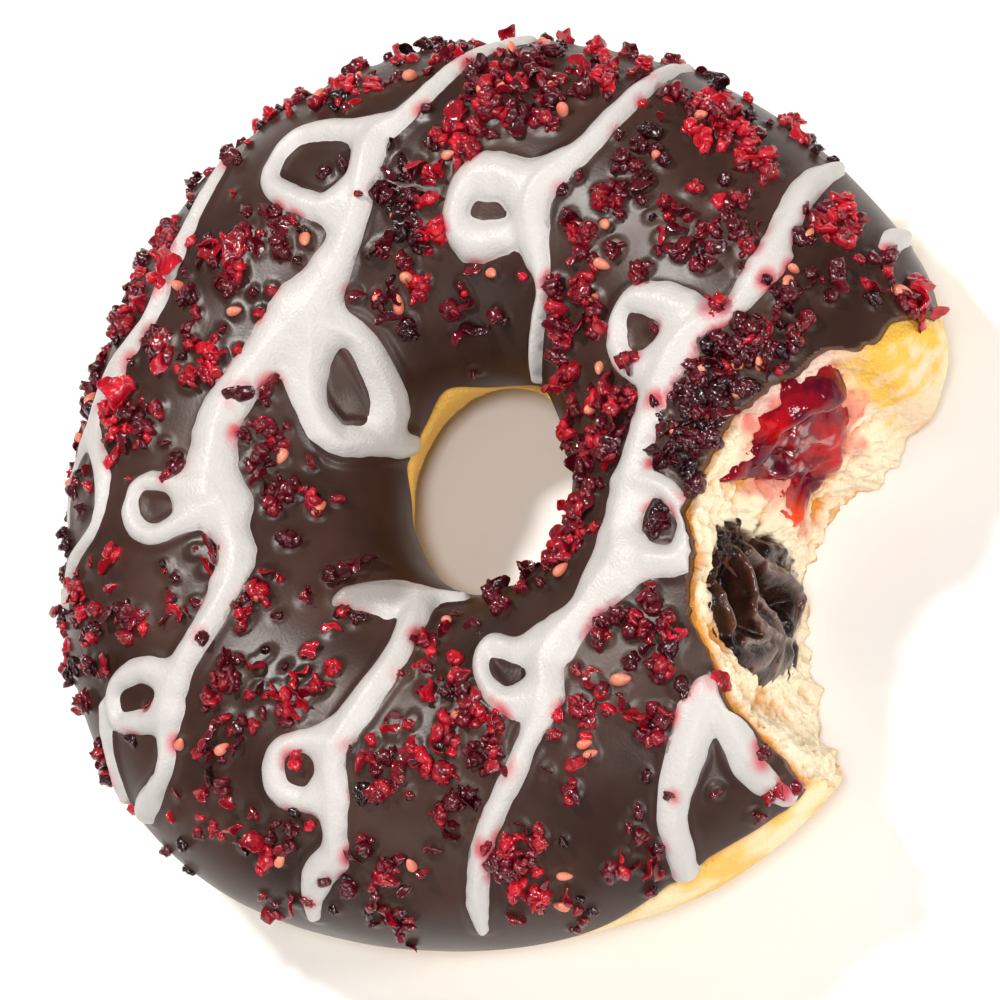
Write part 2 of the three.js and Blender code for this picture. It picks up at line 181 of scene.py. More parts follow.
# The dough: a risen ring of yeast dough fried in fat, golden below with a pale band where it floated.
# The bite tore it rather than cutting it, so its wall is tufts and open bubbles, closer and smoother
# at the end where the teeth pressed. Two tunnels run through it, where the fillings were piped in.
OUTER_RADIUS = 47
HOLE_RADIUS = 10
TOP_HALF = 14.15
BOTTOM_HALF = 15.8
DOUGH_UNDER_GLAZE = 1.05
DOUGH_BARE = 0.4
RING_COLUMNS = 420
SECTION_ROWS = 130
BITE_X = 37.6
BITE_Y = -37.1
BITE_RADIUS = 24.3
BITE_LEAN = 1.7
TOWARDS_AXIS = math.degrees(math.atan2(-BITE_Y, -BITE_X))
WALL_GRAIN = 0.22
FAR_FACINGS = np.array([115, 150, 180, 210, 245.0])
FAR_RADII = np.array([45, 50, 50, 50, 45.0])
JAM_FACING = -27
CREAM_FACING = 14
FILLING_RADIUS = 29.5
TUNNEL_SHRINK = -0.12
ROPE_SHRINK = -0.15
SETTLED = 0.12


def bell(value, centre, width):
    """A smooth hump of height 1."""
    return np.exp(-((value - centre) / width) ** 2)


def ease(value, start, end):
    """From 0 at the start to 1 at the end, level at both."""
    share = np.clip((value - start) / (end - start), 0, 1)
    return share * share * (3 - 2 * share)


def turned(start, degrees):
    """The shortest way round from one direction to another, in degrees."""
    return (degrees - start + 540) % 360 - 180


def scrambled(cell, seed):
    """A fixed random number from 0 to 1 for each whole-number cell."""
    mixed = cell[..., 0] * 73856093 ^ cell[..., 1] * 19349663 ^ cell[..., 2] * 83492791 ^ seed * 2654435
    mixed = (mixed ^ (mixed >> 13)) * 1274126177 & 0x7fffffffffff
    mixed = (mixed ^ (mixed >> 16)) * 668265263 & 0x7fffffffffff
    return ((mixed ^ (mixed >> 15)) & 0xffffff) / 0xffffff


def lumps(points, size, seed):
    """Smooth random heights from -1 to 1, with hills about the given mm apart."""
    grid = points / size + 100
    cell = np.floor(grid).astype(np.int64)
    part = grid - cell
    part = part * part * (3 - 2 * part)
    total = np.zeros(len(points))
    for corner in range(8):
        step = np.array([corner & 1, corner >> 1 & 1, corner >> 2])
        weight = np.prod(np.where(step, part, 1 - part), axis=-1)
        total += weight * (2 * scrambled(cell + step, seed) - 1)
    return total


def bubbles(points, size, seed):
    """Distance to the nearest of a loose crowd of centres the given mm apart, as a share of it."""
    grid = points / size + 100
    cell = np.floor(grid).astype(np.int64)
    nearest = np.full(len(points), 9.0)
    for corner in range(27):
        step = np.array([corner % 3, corner // 3 % 3, corner // 9]) - 1
        there = cell + step
        centre = there + np.stack([scrambled(there, seed + k) for k in range(3)], -1)
        nearest = np.minimum(nearest, np.linalg.norm(grid - centre, axis=-1))
    return nearest


def outer_radius(azimuth):
    """The ring's outer radius: a hand-shaped ring isn't quite round, and bulges beside the bite."""
    wide = 0.8 * np.cos(3 * (azimuth + math.radians(43)))
    tight = 0.7 * np.cos(4 * (azimuth - math.radians(6)))
    beside_bite = 1.1 * bell(turned(-10, np.degrees(azimuth)), 0, 12)
    return OUTER_RADIUS + wide + tight + beside_bite


def hole_radius(azimuth):
    """The hole's radius: slightly oval."""
    return HOLE_RADIUS + 0.9 * np.cos(2 * (azimuth - math.radians(72)))


def ring_point(azimuth, angle, inset):
    """A point on the ring: angle 0 is the outer equator, a quarter turn the crown, half the hole."""
    outer, hole = outer_radius(azimuth), hole_radius(azimuth)
    half_height = np.where(np.sin(angle) > 0, TOP_HALF, BOTTOM_HALF) - inset
    radius = (outer + hole) / 2 + ((outer - hole) / 2 - inset) * np.cos(angle)
    height = MIDDLE_HEIGHT + half_height * np.sin(angle)
    return np.stack([radius * np.cos(azimuth), radius * np.sin(azimuth), height], -1)


def outer_glaze_edge(azimuth):
    """How high the chocolate's outer edge is over the ring's middle plane."""
    degrees = np.degrees(azimuth)
    skirt = 7.4 * bell(turned(-86, degrees), 0, 30) + 2.2 * bell(turned(-68, degrees), 0, 9)
    bite_end = 6 * bell(turned(-14, degrees), 0, 12)
    return -4.6 + skirt + bite_end + 0.6 * np.sin(7 * azimuth) + 0.5 * np.sin(12 * azimuth + 1)


def inner_glaze_edge(azimuth):
    """The same in the hole, where a crescent of dough stays bare."""
    degrees = np.degrees(azimuth)
    far_side = 3.2 * bell(turned(112, degrees), 0, 45) + 2.5 * bell(turned(80, degrees), 0, 14)
    return -3.2 + 7.5 * bell(turned(22, degrees), 0, 24) + far_side + 0.5 * np.sin(9 * azimuth)


def bite_radius(facing, height, lean):
    """The bite's radius from its own centre; facing is in degrees from the way to the ring's axis."""
    corner = 1.5 * bell(facing, -5, 15)
    flare = 3.6 * ease(-facing, 50, 70)
    teeth = 0.3 * np.cos(np.radians(facing * 17))
    tuft = 2.2 * bell(facing, -6, 7) * bell(height, MIDDLE_HEIGHT - 2, 6) * (lean > 0)
    return BITE_RADIUS + corner + flare + teeth - lean * (1 - height / 28) - tuft


def bite_point(facing, height, radius):
    """A point about the ring's axis from a place about the bite's own centre."""
    heading = np.radians(TOWARDS_AXIS + facing)
    return np.stack([BITE_X + radius * np.cos(heading), BITE_Y + radius * np.sin(heading), height], -1)


def bite_place(points):
    """Facing, and how far each point is beyond the bite's leaning wall."""
    aside, ahead = points[:, 0] - BITE_X, points[:, 1] - BITE_Y
    facing = turned(TOWARDS_AXIS, np.degrees(np.arctan2(ahead, aside)))
    return facing, np.hypot(aside, ahead) - bite_radius(facing, points[:, 2], BITE_LEAN)


def loft(loops, closed):
    """Points and triangles of a skin over a row of loops; an open row gets a fan over each end."""
    count, sides = loops.shape[:2]
    points = loops.reshape(-1, 3)
    i = np.arange(count if closed else count - 1)[:, None]
    j = np.arange(sides)[None, :]
    ahead, beside = (i + 1) % count * sides, (j + 1) % sides
    a, b, c, d = i * sides + j, ahead + j, ahead + beside, i * sides + beside
    faces = [np.stack([a, b, c], -1).reshape(-1, 3), np.stack([a, c, d], -1).reshape(-1, 3)]
    if not closed:
        ring, following = np.arange(sides), (np.arange(sides) + 1) % sides
        last = (count - 1) * sides
        first_middle, last_middle = len(points), len(points) + 1
        points = np.vstack([points, loops[0].mean(0), loops[-1].mean(0)])
        faces.append(np.stack([np.full(sides, first_middle), ring, following], -1))
        faces.append(np.stack([np.full(sides, last_middle), last + following, last + ring], -1))
    return points, np.vstack(faces)


def right_way_out(points, triangles):
    """A closed skin with its faces turned outwards."""
    a, b, c = (points[triangles[:, k]] for k in range(3))
    return points, triangles if np.einsum("ij,ij->", a, np.cross(b, c)) > 0 else triangles[:, ::-1]


def solid_mesh(name, points, triangles):
    """A closed mesh with its faces turned outwards."""
    return make_mesh(name, *right_way_out(points, triangles))


def bake(piece):
    """Applies the piece's modifiers."""
    graph = bpy.context.evaluated_depsgraph_get()
    made = bpy.data.meshes.new_from_object(piece.evaluated_get(graph))
    piece.modifiers.clear()
    piece.data = made


def carve(piece, *tools):
    """Cuts closed tools out of a closed piece."""
    for tool in tools:
        cut = piece.modifiers.new("cut", "BOOLEAN")
        cut.operation = "DIFFERENCE"
        cut.solver = "MANIFOLD"
        cut.object = tool
        bake(piece)
        bpy.data.objects.remove(tool)
    piece.data.shade_smooth()


def points_of(piece):
    """The piece's points in mm about the ring's axis."""
    raw = np.empty(len(piece.data.vertices) * 3, np.float32)
    piece.data.vertices.foreach_get("co", raw)
    return raw.reshape(-1, 3).astype(float) / MM - AXIS


def move_points(piece, points):
    """Puts the piece's points where they are given, in mm about the ring's axis."""
    piece.data.vertices.foreach_set("co", ((points + AXIS) * MM).astype(np.float32).ravel())
    piece.data.update()


def outward(piece):
    """The way out of the piece at each of its points."""
    raw = np.empty(len(piece.data.vertices) * 3, np.float32)
    piece.data.vertex_normals.foreach_get("vector", raw)
    return raw.reshape(-1, 3).astype(float)


def paint(piece, name, values):
    """Keeps one number at each point, for a material to read."""
    layer = piece.data.attributes.new(name, "FLOAT", "POINT")
    layer.data.foreach_set("value", np.asarray(values, np.float32))


def spline(points, step, closed):
    """Points about the given mm apart on a smooth curve through the ones given."""
    points = np.asarray(points, float)
    if closed:
        padded = np.vstack([points[-1], points, points[:2]])
    else:
        padded = np.vstack([2 * points[0] - points[1], points, 2 * points[-1] - points[-2]])
    made = []
    for before, here, there, after in zip(padded, padded[1:], padded[2:], padded[3:]):
        count = max(2, round(np.linalg.norm(there - here) / step))
        t = (np.arange(count) / count)[:, None]
        square = (2 * before - 5 * here + 4 * there - after) * t ** 2
        cube = (3 * here - before - 3 * there + after) * t ** 3
        made.append(0.5 * (2 * here + (there - before) * t + (square + cube)))
    return np.vstack(made if closed else made + [points[-1:]])


def tube(path, wide, high, sides):
    """Loops of an oval tube along a path, kept upright."""
    ahead = np.gradient(path, axis=0)
    side = np.stack([ahead[:, 1], -ahead[:, 0], 0 * ahead[:, 0]], -1)
    side /= np.linalg.norm(side, axis=-1, keepdims=True) + 1e-9
    angle = 2 * math.pi * np.arange(sides) / sides
    loops = path[:, None] + side[:, None] * (np.cos(angle) * wide[:, None])[..., None]
    loops[..., 2] += np.sin(angle) * high[:, None]
    return loops


def filling_rope(route, wide, high, mouth_wide, mouth_high, grow, seed):
    """The skin of a filling's rope through the ring, uneven, and of another size at its mouth."""
    path = spline(route, 0.8, False)
    along = np.linspace(0, 1, len(path))
    taper = 1 - 0.45 * ease(along, 0.9, 1)
    mouth = bell(along, 0, 0.14)
    wide, high = wide / 2 + mouth_wide * mouth, high / 2 + mouth_high * mouth
    loops = tube(path, wide * taper + grow, high * taper + grow, 48)
    flat = loops.reshape(-1, 3)
    uneven = 0.45 * lumps(flat, 5, seed) + 0.3 * lumps(flat, 2, seed + 1)
    out = loops - path[:, None]
    out /= np.linalg.norm(out, axis=-1, keepdims=True)
    return loft(loops + out * uneven.reshape(loops.shape[:2])[..., None], False)


def arc_route(start, end):
    """Route points round the ring at the fillings' radius."""
    azimuth = np.radians(np.linspace(start, end, round(abs(end - start) / 20) + 1))
    across, ahead = FILLING_RADIUS * np.cos(azimuth), FILLING_RADIUS * np.sin(azimuth)
    return np.stack([across, ahead, 0 * azimuth + MIDDLE_HEIGHT], -1)


def jam_rope(mouth, mouth_wide, mouth_high, grow):
    """The jam's rope, from its mouth in the bite round one side of the ring."""
    route = np.vstack([mouth, [30.2, -9, 15.6], arc_route(0, 150)])
    return filling_rope(route, 9.4, 13, mouth_wide, mouth_high, grow, 31)


def cream_rope(mouth, mouth_wide, mouth_high, grow):
    """The cream's rope, from its mouth in the bite round the other side."""
    route = np.vstack([mouth, [9, -27.6, 13.8], arc_route(-92, -196)])
    return filling_rope(route, 9.4, 12.5, mouth_wide, mouth_high, grow, 41)


def bite_space(name, facing, height, radius):
    """A closed space from the bite's wall to well outside the ring, to cut the bite with."""
    loops = bite_point(facing, height, radius)
    far = np.stack([bite_point(FAR_FACINGS, 0 * FAR_FACINGS + h, FAR_RADII) for h in height[:, 0]])
    return solid_mesh(name, *loft(np.concatenate([loops, far], 1), False))


def torn_wall():
    """The bite's space, with the torn crumb in relief on its wall."""
    heights = np.arange(-3, 33, WALL_GRAIN)
    facings = np.arange(-86, 86, math.degrees(WALL_GRAIN / BITE_RADIUS))
    height, facing = np.meshgrid(heights, facings, indexing="ij")
    radius = bite_radius(facing, height, BITE_LEAN)
    wall = bite_point(facing, height, radius).reshape(-1, 3)
    pressed = (0.85 * ease(-facing, 38, 48)).ravel()
    tufts = 0.6 * lumps(wall, 5, 1) + 0.42 * lumps(wall, 2.3, 2) + 0.3 * lumps(wall, 1.1, 3)
    strands = sum(np.clip(1 - 3 * np.abs(lumps(wall, size, 6)), 0, 1) for size in (1.8, 0.9))
    small = np.clip(1 - bubbles(wall, 1.3, 4) / 0.6, 0, 1) ** 0.6
    fine = np.clip(1 - bubbles(wall, 0.75, 9) / 0.6, 0, 1)
    large = np.clip(1 - bubbles(wall, 3.8, 8) / 0.42, 0, 1) ** 0.5
    grain = 0.15 * lumps(wall, 0.55, 5)
    torn = tufts - 0.1 * strands + 0.55 * small + 0.35 * fine + 1.0 * large
    depth = torn * (1 - pressed) + grain * (1 - 0.5 * pressed)
    radius = radius + (depth - 0.45 * (1 - pressed)).reshape(radius.shape)
    return bite_space("torn_bite", facing, height, radius)


columns = 2 * math.pi * np.arange(RING_COLUMNS) / RING_COLUMNS
rows = 2 * math.pi * np.arange(SECTION_ROWS) / SECTION_ROWS
azimuth, angle = np.meshgrid(columns, rows, indexing="ij")
level_here = np.where(np.sin(angle) > 0, TOP_HALF, BOTTOM_HALF) * np.sin(angle)
edge = np.where(np.cos(angle) > 0, outer_glaze_edge(azimuth), inner_glaze_edge(azimuth))
bare = ease(edge - level_here, -0.2, 1.6)
skin = ring_point(azimuth, angle, DOUGH_UNDER_GLAZE - (DOUGH_UNDER_GLAZE - DOUGH_BARE) * bare)
flat = skin.reshape(-1, 3)
dents = 0.25 * lumps(flat, 11, 21) + 0.16 * lumps(flat, 3.5, 22) + 0.06 * lumps(flat, 1.2, 23)
inward = np.stack([-np.cos(angle) * np.cos(azimuth), -np.cos(angle) * np.sin(azimuth), -np.sin(angle)], -1)
skin = skin + inward * (dents.reshape(angle.shape) * bare + SETTLED)[..., None]
# It stands on a flat with a soft edge
skin[..., 2] = (skin[..., 2] + np.sqrt(skin[..., 2] ** 2 + 0.5)) / 2
dough = solid_mesh("fried_dough", *loft(skin, True))
jam_tunnel = jam_rope([[27.6, -21, 18.6], [28.8, -17, 18.4]], -0.6, -1, TUNNEL_SHRINK)
cream_tunnel = cream_rope([18.6, -25.6, 15.3], 0.8, 1.8, TUNNEL_SHRINK)
carve(dough, torn_wall(), solid_mesh("jam_tunnel", *jam_tunnel), solid_mesh("cream_tunnel", *cream_tunnel))

# What each place is: crust or crumb, tuft or hollow, pressed, pale under the chocolate, or stained
points = points_of(dough)
facing, beyond = bite_place(points)
around = np.arctan2(points[:, 1], points[:, 0])
middle = (outer_radius(around) + hole_radius(around)) / 2
across = (outer_radius(around) - hole_radius(around)) / 2
rise = points[:, 2] - MIDDLE_HEIGHT
high = np.where(rise > 0, TOP_HALF, BOTTOM_HALF)
deep = (1 - np.hypot((np.hypot(points[:, 0], points[:, 1]) - middle) / across, rise / high)) * 15
deep = np.minimum(deep, points[:, 2] + 0.4)
outside = np.hypot(points[:, 0], points[:, 1]) > middle
below_glaze = np.where(outside, outer_glaze_edge(around), inner_glaze_edge(around)) - rise
paint(dough, "crust", (1 - ease(deep, 0.5, 0.9)) * ease(below_glaze, -0.8, 0.4))
# Painted light: the crust inside the hole is painted a brighter gold, to make up for the shade there
paint(dough, "hole_side_lit", ease(np.hypot(points[:, 0], points[:, 1]), 17, 13))
# Painted shade: the crumb goes amber deep in its bubbles, and high on the wall under the chocolate
paint(dough, "hollow_shade", np.clip(beyond / 1.2, -1, 2) + 0.45 * ease(rise, 4, 11) * ease(facing, -14, -4))
paint(dough, "pressed", ease(-facing + 3 * lumps(points, 2.5, 28), 37, 47))
paint(dough, "under_glaze", ease(rise + lumps(points, 2, 24), 7.5, 10.5) * ease(-facing, 14, 26))
near_wall = 1 - ease(beyond, 2.5, 4.5)
jam_near = np.hypot((facing - JAM_FACING) / 15.5, (rise - 3) / 9) + 0.3 * lumps(points, 1.6, 25)
drip_near = np.hypot((facing + 12) / 7, (rise + 4) / 8) + 0.4 * lumps(points, 1.4, 27)
dripped = 0.9 - 0.9 * ease(drip_near, 0.2, 1)
paint(dough, "jam_stain", near_wall * np.maximum(1 - ease(jam_near, 0.85, 1.15), dripped))
cream_near = np.hypot((facing - CREAM_FACING) / 16.5, (rise - 1) / 9.5) + 0.3 * lumps(points, 1.2, 26)
paint(dough, "cream_stain", near_wall * (1 - ease(cream_near, 0.82, 1.06)))

tree, dough_finish = new_material("fried_yeast_dough")
# Fried outside, baked white inside: the crust is thin, satin and golden, and the crumb is soft and
# lets light in. It is pale on the tufts, with painted shade that turns it amber down in the bubbles
# and high on the wall under the chocolate
where = add_node(tree, "TexCoord", {}, {}, "Object")
crust, hole_side_lit, hollow_shade, pressed, under_glaze, jam_stain, cream_stain = (
    add_node(tree, "Attribute", {"attribute_name": name}, {}, "Fac")
    for name in ("crust", "hole_side_lit", "hollow_shade", "pressed", "under_glaze", "jam_stain", "cream_stain"))
tuft_noise = add_node(tree, "TexNoise", {}, {"Vector": where, "Scale": 1 / (0.8 * MM), "Detail": 3})
patch_noise = add_node(tree, "TexNoise", {}, {"Vector": where, "Scale": 1 / (5 * MM), "Detail": 2})
spot_noise = add_node(tree, "TexNoise", {}, {"Vector": where, "Scale": 1 / (2.2 * MM), "Detail": 2})
shadowed = add_node(tree, "Math", {"operation": "MULTIPLY_ADD"}, {0: tuft_noise, 1: 0.9, 2: hollow_shade})
amber = add_node(tree, "MapRange", {}, {"Value": shadowed, "From Min": 0.4, "From Max": 1.1})
# Painted shade: amber where the crumb is hollow
crumb = add_node(tree, "Mix", {"data_type": "RGBA"}, {
    SHARE: amber, FIRST: linear("#f6e6c8"), SECOND: linear("#dd9440")}, BLENDED)
height = add_node(tree, "SeparateXYZ", {}, {0: where}, "Z")
# Yellow patches, more of them higher up: partly the pressed crumb's colour, partly painted glow through it
spotted = add_node(tree, "Math", {"operation": "MULTIPLY_ADD"}, {0: spot_noise, 1: 40 * MM, 2: height})
orange = add_node(tree, "MapRange", {}, {"Value": spotted, "From Min": 27 * MM, "From Max": 38 * MM})
dense = add_node(tree, "Mix", {"data_type": "RGBA"}, {
    SHARE: orange, FIRST: linear("#f4d8b8"), SECOND: linear("#f2c050")}, BLENDED)
crumb_all = add_node(tree, "Mix", {"data_type": "RGBA"}, {
    SHARE: pressed, FIRST: crumb, SECOND: dense}, BLENDED)
whitened = add_node(tree, "Mix", {"data_type": "RGBA"}, {
    SHARE: under_glaze, FIRST: crumb_all, SECOND: linear("#f2d0c0")}, BLENDED)
browned = add_node(tree, "MapRange", {}, {"Value": height, "From Min": 6 * MM, "From Max": 1 * MM})
pale = add_node(tree, "MapRange", {}, {"Value": patch_noise, "From Min": 0.42, "From Max": 0.66})
band = add_node(tree, "Mix", {"data_type": "RGBA"}, {
    SHARE: pale, FIRST: linear("#f8e0b6"), SECOND: linear("#eec064")}, BLENDED)
fried = add_node(tree, "Mix", {"data_type": "RGBA"}, {
    SHARE: browned, FIRST: band, SECOND: linear("#dba961")}, BLENDED)
# Painted light: a brighter gold in the hole
golden = add_node(tree, "Mix", {"data_type": "RGBA"}, {
    SHARE: hole_side_lit, FIRST: fried, SECOND: linear("#ffc864")}, BLENDED)
baked = add_node(tree, "Mix", {"data_type": "RGBA"}, {
    SHARE: crust, FIRST: whitened, SECOND: golden}, BLENDED)
pink = add_node(tree, "Math", {"operation": "MULTIPLY"}, {0: jam_stain, 1: 0.72})
stained = add_node(tree, "Mix", {"data_type": "RGBA"}, {
    SHARE: pink, FIRST: baked, SECOND: linear("#dd5a4c")}, BLENDED)
smeared = add_node(tree, "Mix", {"data_type": "RGBA"}, {
    SHARE: cream_stain, FIRST: stained, SECOND: linear("#5a3320")}, BLENDED)
fine = add_node(tree, "TexNoise", {}, {"Vector": where, "Scale": 1 / (0.4 * MM), "Detail": 4})
relief = add_node(tree, "Bump", {}, {"Strength": 0.7, "Distance": 0.45 * MM, "Height": fine})
surface = add_node(tree, "BsdfPrincipled", {"subsurface_method": "RANDOM_WALK"}, {
    "Base Color": smeared, "Roughness": 0.75, "IOR": 1.45, "Specular IOR Level": 0.3,
    "Subsurface Weight": 0.3, "Subsurface Radius": (1.0, 0.6, 0.35), "Subsurface Scale": 0.7 * MM,
    "Normal": relief})
dress(dough, dough_finish, surface)
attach(dough, "root")
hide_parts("dough")

# The raspberry jam: fruit boiled with sugar, piped in while the ring was warm. At the bite it is a
# sticky, see-through mass smeared over the crumb, with a thick tongue rolled along its top and
# wrinkles that glint under it.
WALL_MM = math.radians(BITE_RADIUS)
JAM_VOXEL = 0.2
JAM_GRID = 0.16
JAM_SINK = 0.3
JAM_DEPTH = 2.2
WRINKLES_AT = (-10.4, 3.6)
WRINKLES_REACH = 3.4
PULP_AT = (-10.2, 3.8)
PULP_REACH = 3.2
# Places on the bite's wall are facing in degrees and height in mm over the ring's middle plane. A roll
# is its height out of the jam, and its places with their half widths.
JAM_EDGE = [
    (-7, 10.8), (-13, 10), (-20, 10.6), (-24, 11.4), (-30, 11.6), (-38, 10.2), (-42.5, 8.2), (-42, 5.6),
    (-40, 3.6), (-38.5, 0.5), (-36, -1.5), (-32, -1.5), (-29.5, -4), (-25, -6.2), (-19, -6.6), (-12, -5.8),
    (-7.5, -4), (-8, -0.8), (-11, 0.6), (-14.5, 1.4), (-14, 3.6), (-12, 6), (-9, 8.8),
]
JAM_ROLLS = [
    (1.9, [(-21, 10.4, 1.2), (-27, 10.6, 1.8), (-33, 9.8, 2.2), (-38.5, 8.2, 2.2), (-41, 7, 1.6)]),
    (1.1, [(-27, 5, 2.4), (-29.5, 1.5, 2.6), (-26, -3, 2.4)]),
    (0.8, [(-15.5, 4, 0.9), (-20, 1.6, 1), (-21.5, -1, 0.8), (-18, -1.2, 0.7)]),
    (0.7, [(-17, 8, 1.4), (-21, 8.4, 1.6), (-24, 6.8, 1.2)]),
    (0.7, [(-20, -4.6, 1.2), (-15, -3.6, 1.1), (-11, -2.6, 0.8)]),
]


def wall_place(facing, rise, out):
    """A place the given mm out of the bite's wall."""
    height = MIDDLE_HEIGHT + rise
    return bite_point(facing, height, bite_radius(facing, height, BITE_LEAN) - out)


def inside(x, y, edge):
    """How far inside a closed outline each place is; outside is negative."""
    line = spline(edge, 0.3, True)
    ahead = np.roll(line, -1, 0)
    x, y = x[:, None], y[:, None]
    away = np.hypot(x - line[:, 0], y - line[:, 1]).min(1)
    slant = (ahead[:, 0] - line[:, 0]) / (ahead[:, 1] - line[:, 1] + 1e-9)
    crosses = ((line[:, 1] > y) != (ahead[:, 1] > y)) & (x < line[:, 0] + (y - line[:, 1]) * slant)
    return np.where(crosses.sum(1) % 2, away, -away)


def round_patch(x, y, middle, reach):
    """1 in the middle of a round patch, and fading to 0 about it."""
    return np.exp(-np.hypot((x - middle[0]) / reach, (y - middle[1]) / reach) ** 2)


def gather(parts):
    """Several skins' points and triangles as one."""
    start, points, triangles = 0, [], []
    for more, faces in parts:
        points.append(more)
        triangles.append(faces + start)
        start += len(more)
    return np.vstack(points), np.vstack(triangles)


def sheet(surface, under, covers):
    """Points and triangles of a closed sheet over the covered cells of a grid."""
    cell = covers[:-1, :-1] | covers[1:, :-1] | covers[:-1, 1:] | covers[1:, 1:]
    cell = np.pad(cell, 1)
    wide, deep = covers.shape
    number = np.pad(np.arange(wide * deep).reshape(wide, deep), 1)
    a, b = number[:-1, :-1], number[1:, :-1]
    c, d = number[1:, 1:], number[:-1, 1:]
    top = np.vstack([np.stack([a, b, c], -1)[cell], np.stack([a, c, d], -1)[cell]])
    faces = [top, top[:, ::-1] + wide * deep]
    for p, q, step in ((a, b, (0, 1)), (b, c, (-1, 0)), (c, d, (0, -1)), (d, a, (1, 0))):
        rim = cell & ~np.roll(cell, step, (0, 1))
        first, second = p[rim], q[rim]
        low_first, low_second = first + wide * deep, second + wide * deep
        faces.append(np.stack([second, first, low_first], -1))
        faces.append(np.stack([second, low_first, low_second], -1))
    used, triangles = np.unique(np.vstack(faces), return_inverse=True)
    return np.vstack([surface, under])[used], triangles.reshape(-1, 3)


def melt(piece, voxel, rounds):
    """Runs overlapping skins together into one rounded skin."""
    remesh = piece.modifiers.new("melt", "REMESH")
    remesh.mode = "VOXEL"
    remesh.voxel_size = voxel * MM
    bake(piece)
    smooth = piece.modifiers.new("settle", "SMOOTH")
    smooth.factor = 0.5
    smooth.iterations = rounds
    bake(piece)
    piece.data.shade_smooth()


facings = np.arange(-46, -3, JAM_GRID / WALL_MM)
rises = np.arange(-9, 14, JAM_GRID)
facing, rise = (grid.ravel() for grid in np.meshgrid(facings, rises, indexing="ij"))
flat = np.stack([facing * WALL_MM, rise, 0 * rise], -1)
ragged = 0.22 * lumps(flat, 1.5, 31) + 0.12 * lumps(flat, 0.7, 32)
depth = inside(flat[:, 0], rise, np.array(JAM_EDGE) * [WALL_MM, 1]) + ragged
out = 0.75 + 0.35 * lumps(flat, 4, 34) + 0.12 * lumps(flat, 1.7, 35)
for lift, route in JAM_ROLLS:
    path = spline(np.array(route) * [WALL_MM, 1, 1], 0.3, False)
    away = np.hypot(flat[:, :1] - path[:, 0], flat[:, 1:2] - path[:, 1]) / path[:, 2]
    out += lift * np.sqrt(np.clip(1 - away.min(1) ** 2, 0, 1))
wrinkled = round_patch(flat[:, 0], rise, WRINKLES_AT, WRINKLES_REACH)
out += (0.1 + 0.75 * wrinkled) * lumps(flat, 1.9, 36) + (0.08 + 0.3 * wrinkled) * lumps(flat, 0.9, 37)
# Its edge is rounded, and dips under the crumb
out = out * np.sqrt(1 - (1 - np.clip(depth / 1.1, 0, 1)) ** 2) + np.clip(depth, -JAM_SINK, 0) - 0.1
covers = (depth > -JAM_SINK).reshape(len(facings), len(rises))
smear = sheet(wall_place(facing, rise, out), wall_place(facing, rise, 0 * out - JAM_DEPTH), covers)
rope = jam_rope([29.3, -12.6, 17.3], -1, -1.6, ROPE_SHRINK)
jam = make_mesh("raspberry_jam_filling", *gather([right_way_out(*smear), right_way_out(*rope)]))
melt(jam, JAM_VOXEL, 1)
points = points_of(jam)
facing, beyond = bite_place(points)
rise = points[:, 2] - MIDDLE_HEIGHT
# Bright red in two set patches on the wall, and darker elsewhere
bright = bell(facing, -30, 8) * bell(rise, -1, 6.5) + bell(facing, -23, 4) * bell(rise, 11, 3)
paint(jam, "bright_patch", bright + 0.25 * lumps(points, 2.5, 38))
paint(jam, "film", ease(facing, -17, -10) * ease(rise, 2, -2))
grainy = round_patch(facing * WALL_MM, rise, PULP_AT, PULP_REACH)
paint(jam, "grain", ease(grainy + 0.8 * lumps(points, 0.9, 39), 0.6, 0.9))

tree, jam_finish = new_material("boiled_raspberry_jam")
# Set fruit syrup: wet gloss over a body that light goes well into. It is bright red in two set patches
# and darker elsewhere, thick parts go to purple, and a mere film over the crumb is orange. Grains of
# pulp under the tongue stand wet and glint
where = add_node(tree, "TexCoord", {}, {}, "Object")
bright_patch = add_node(tree, "Attribute", {"attribute_name": "bright_patch"}, {}, "Fac")
pulp = add_node(tree, "TexNoise", {}, {"Vector": where, "Scale": 1 / (2 * MM), "Detail": 3})
thick = add_node(tree, "MapRange", {}, {"Value": pulp, "From Min": 0.4, "From Max": 0.6})
thin_part = add_node(tree, "Mix", {"data_type": "RGBA"}, {
    SHARE: bright_patch, FIRST: linear("#820a1a"), SECOND: linear("#c20a12")}, BLENDED)
thick_part = add_node(tree, "Mix", {"data_type": "RGBA"}, {
    SHARE: bright_patch, FIRST: linear("#4c0820"), SECOND: linear("#9a060e")}, BLENDED)
mass = add_node(tree, "Mix", {"data_type": "RGBA"}, {
    SHARE: thick, FIRST: thin_part, SECOND: thick_part}, BLENDED)
film = add_node(tree, "Attribute", {"attribute_name": "film"}, {}, "Fac")
body = add_node(tree, "Mix", {"data_type": "RGBA"}, {
    SHARE: film, FIRST: mass, SECOND: linear("#e84a22")}, BLENDED)
skin_noise = add_node(tree, "TexNoise", {}, {"Vector": where, "Scale": 1 / (0.7 * MM), "Detail": 2})
relief = add_node(tree, "Bump", {}, {
    "Strength": 0.5, "Distance": 0.2 * MM, "Height": skin_noise})
grain = add_node(tree, "Attribute", {"attribute_name": "grain"}, {}, "Fac")
surface = add_node(tree, "BsdfPrincipled", {"subsurface_method": "RANDOM_WALK"}, {
    "Base Color": body, "Roughness": 0.12, "IOR": 1.42, "Specular IOR Level": 0.3,
    "Subsurface Weight": 0.25, "Subsurface Radius": (1.0, 0.06, 0.05), "Subsurface Scale": 1.2 * MM,
    "Coat Weight": grain, "Coat IOR": 2.2, "Coat Roughness": 0.22, "Normal": relief})
dress(jam, jam_finish, surface)
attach(jam, "root")
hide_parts("raspberry_jam")

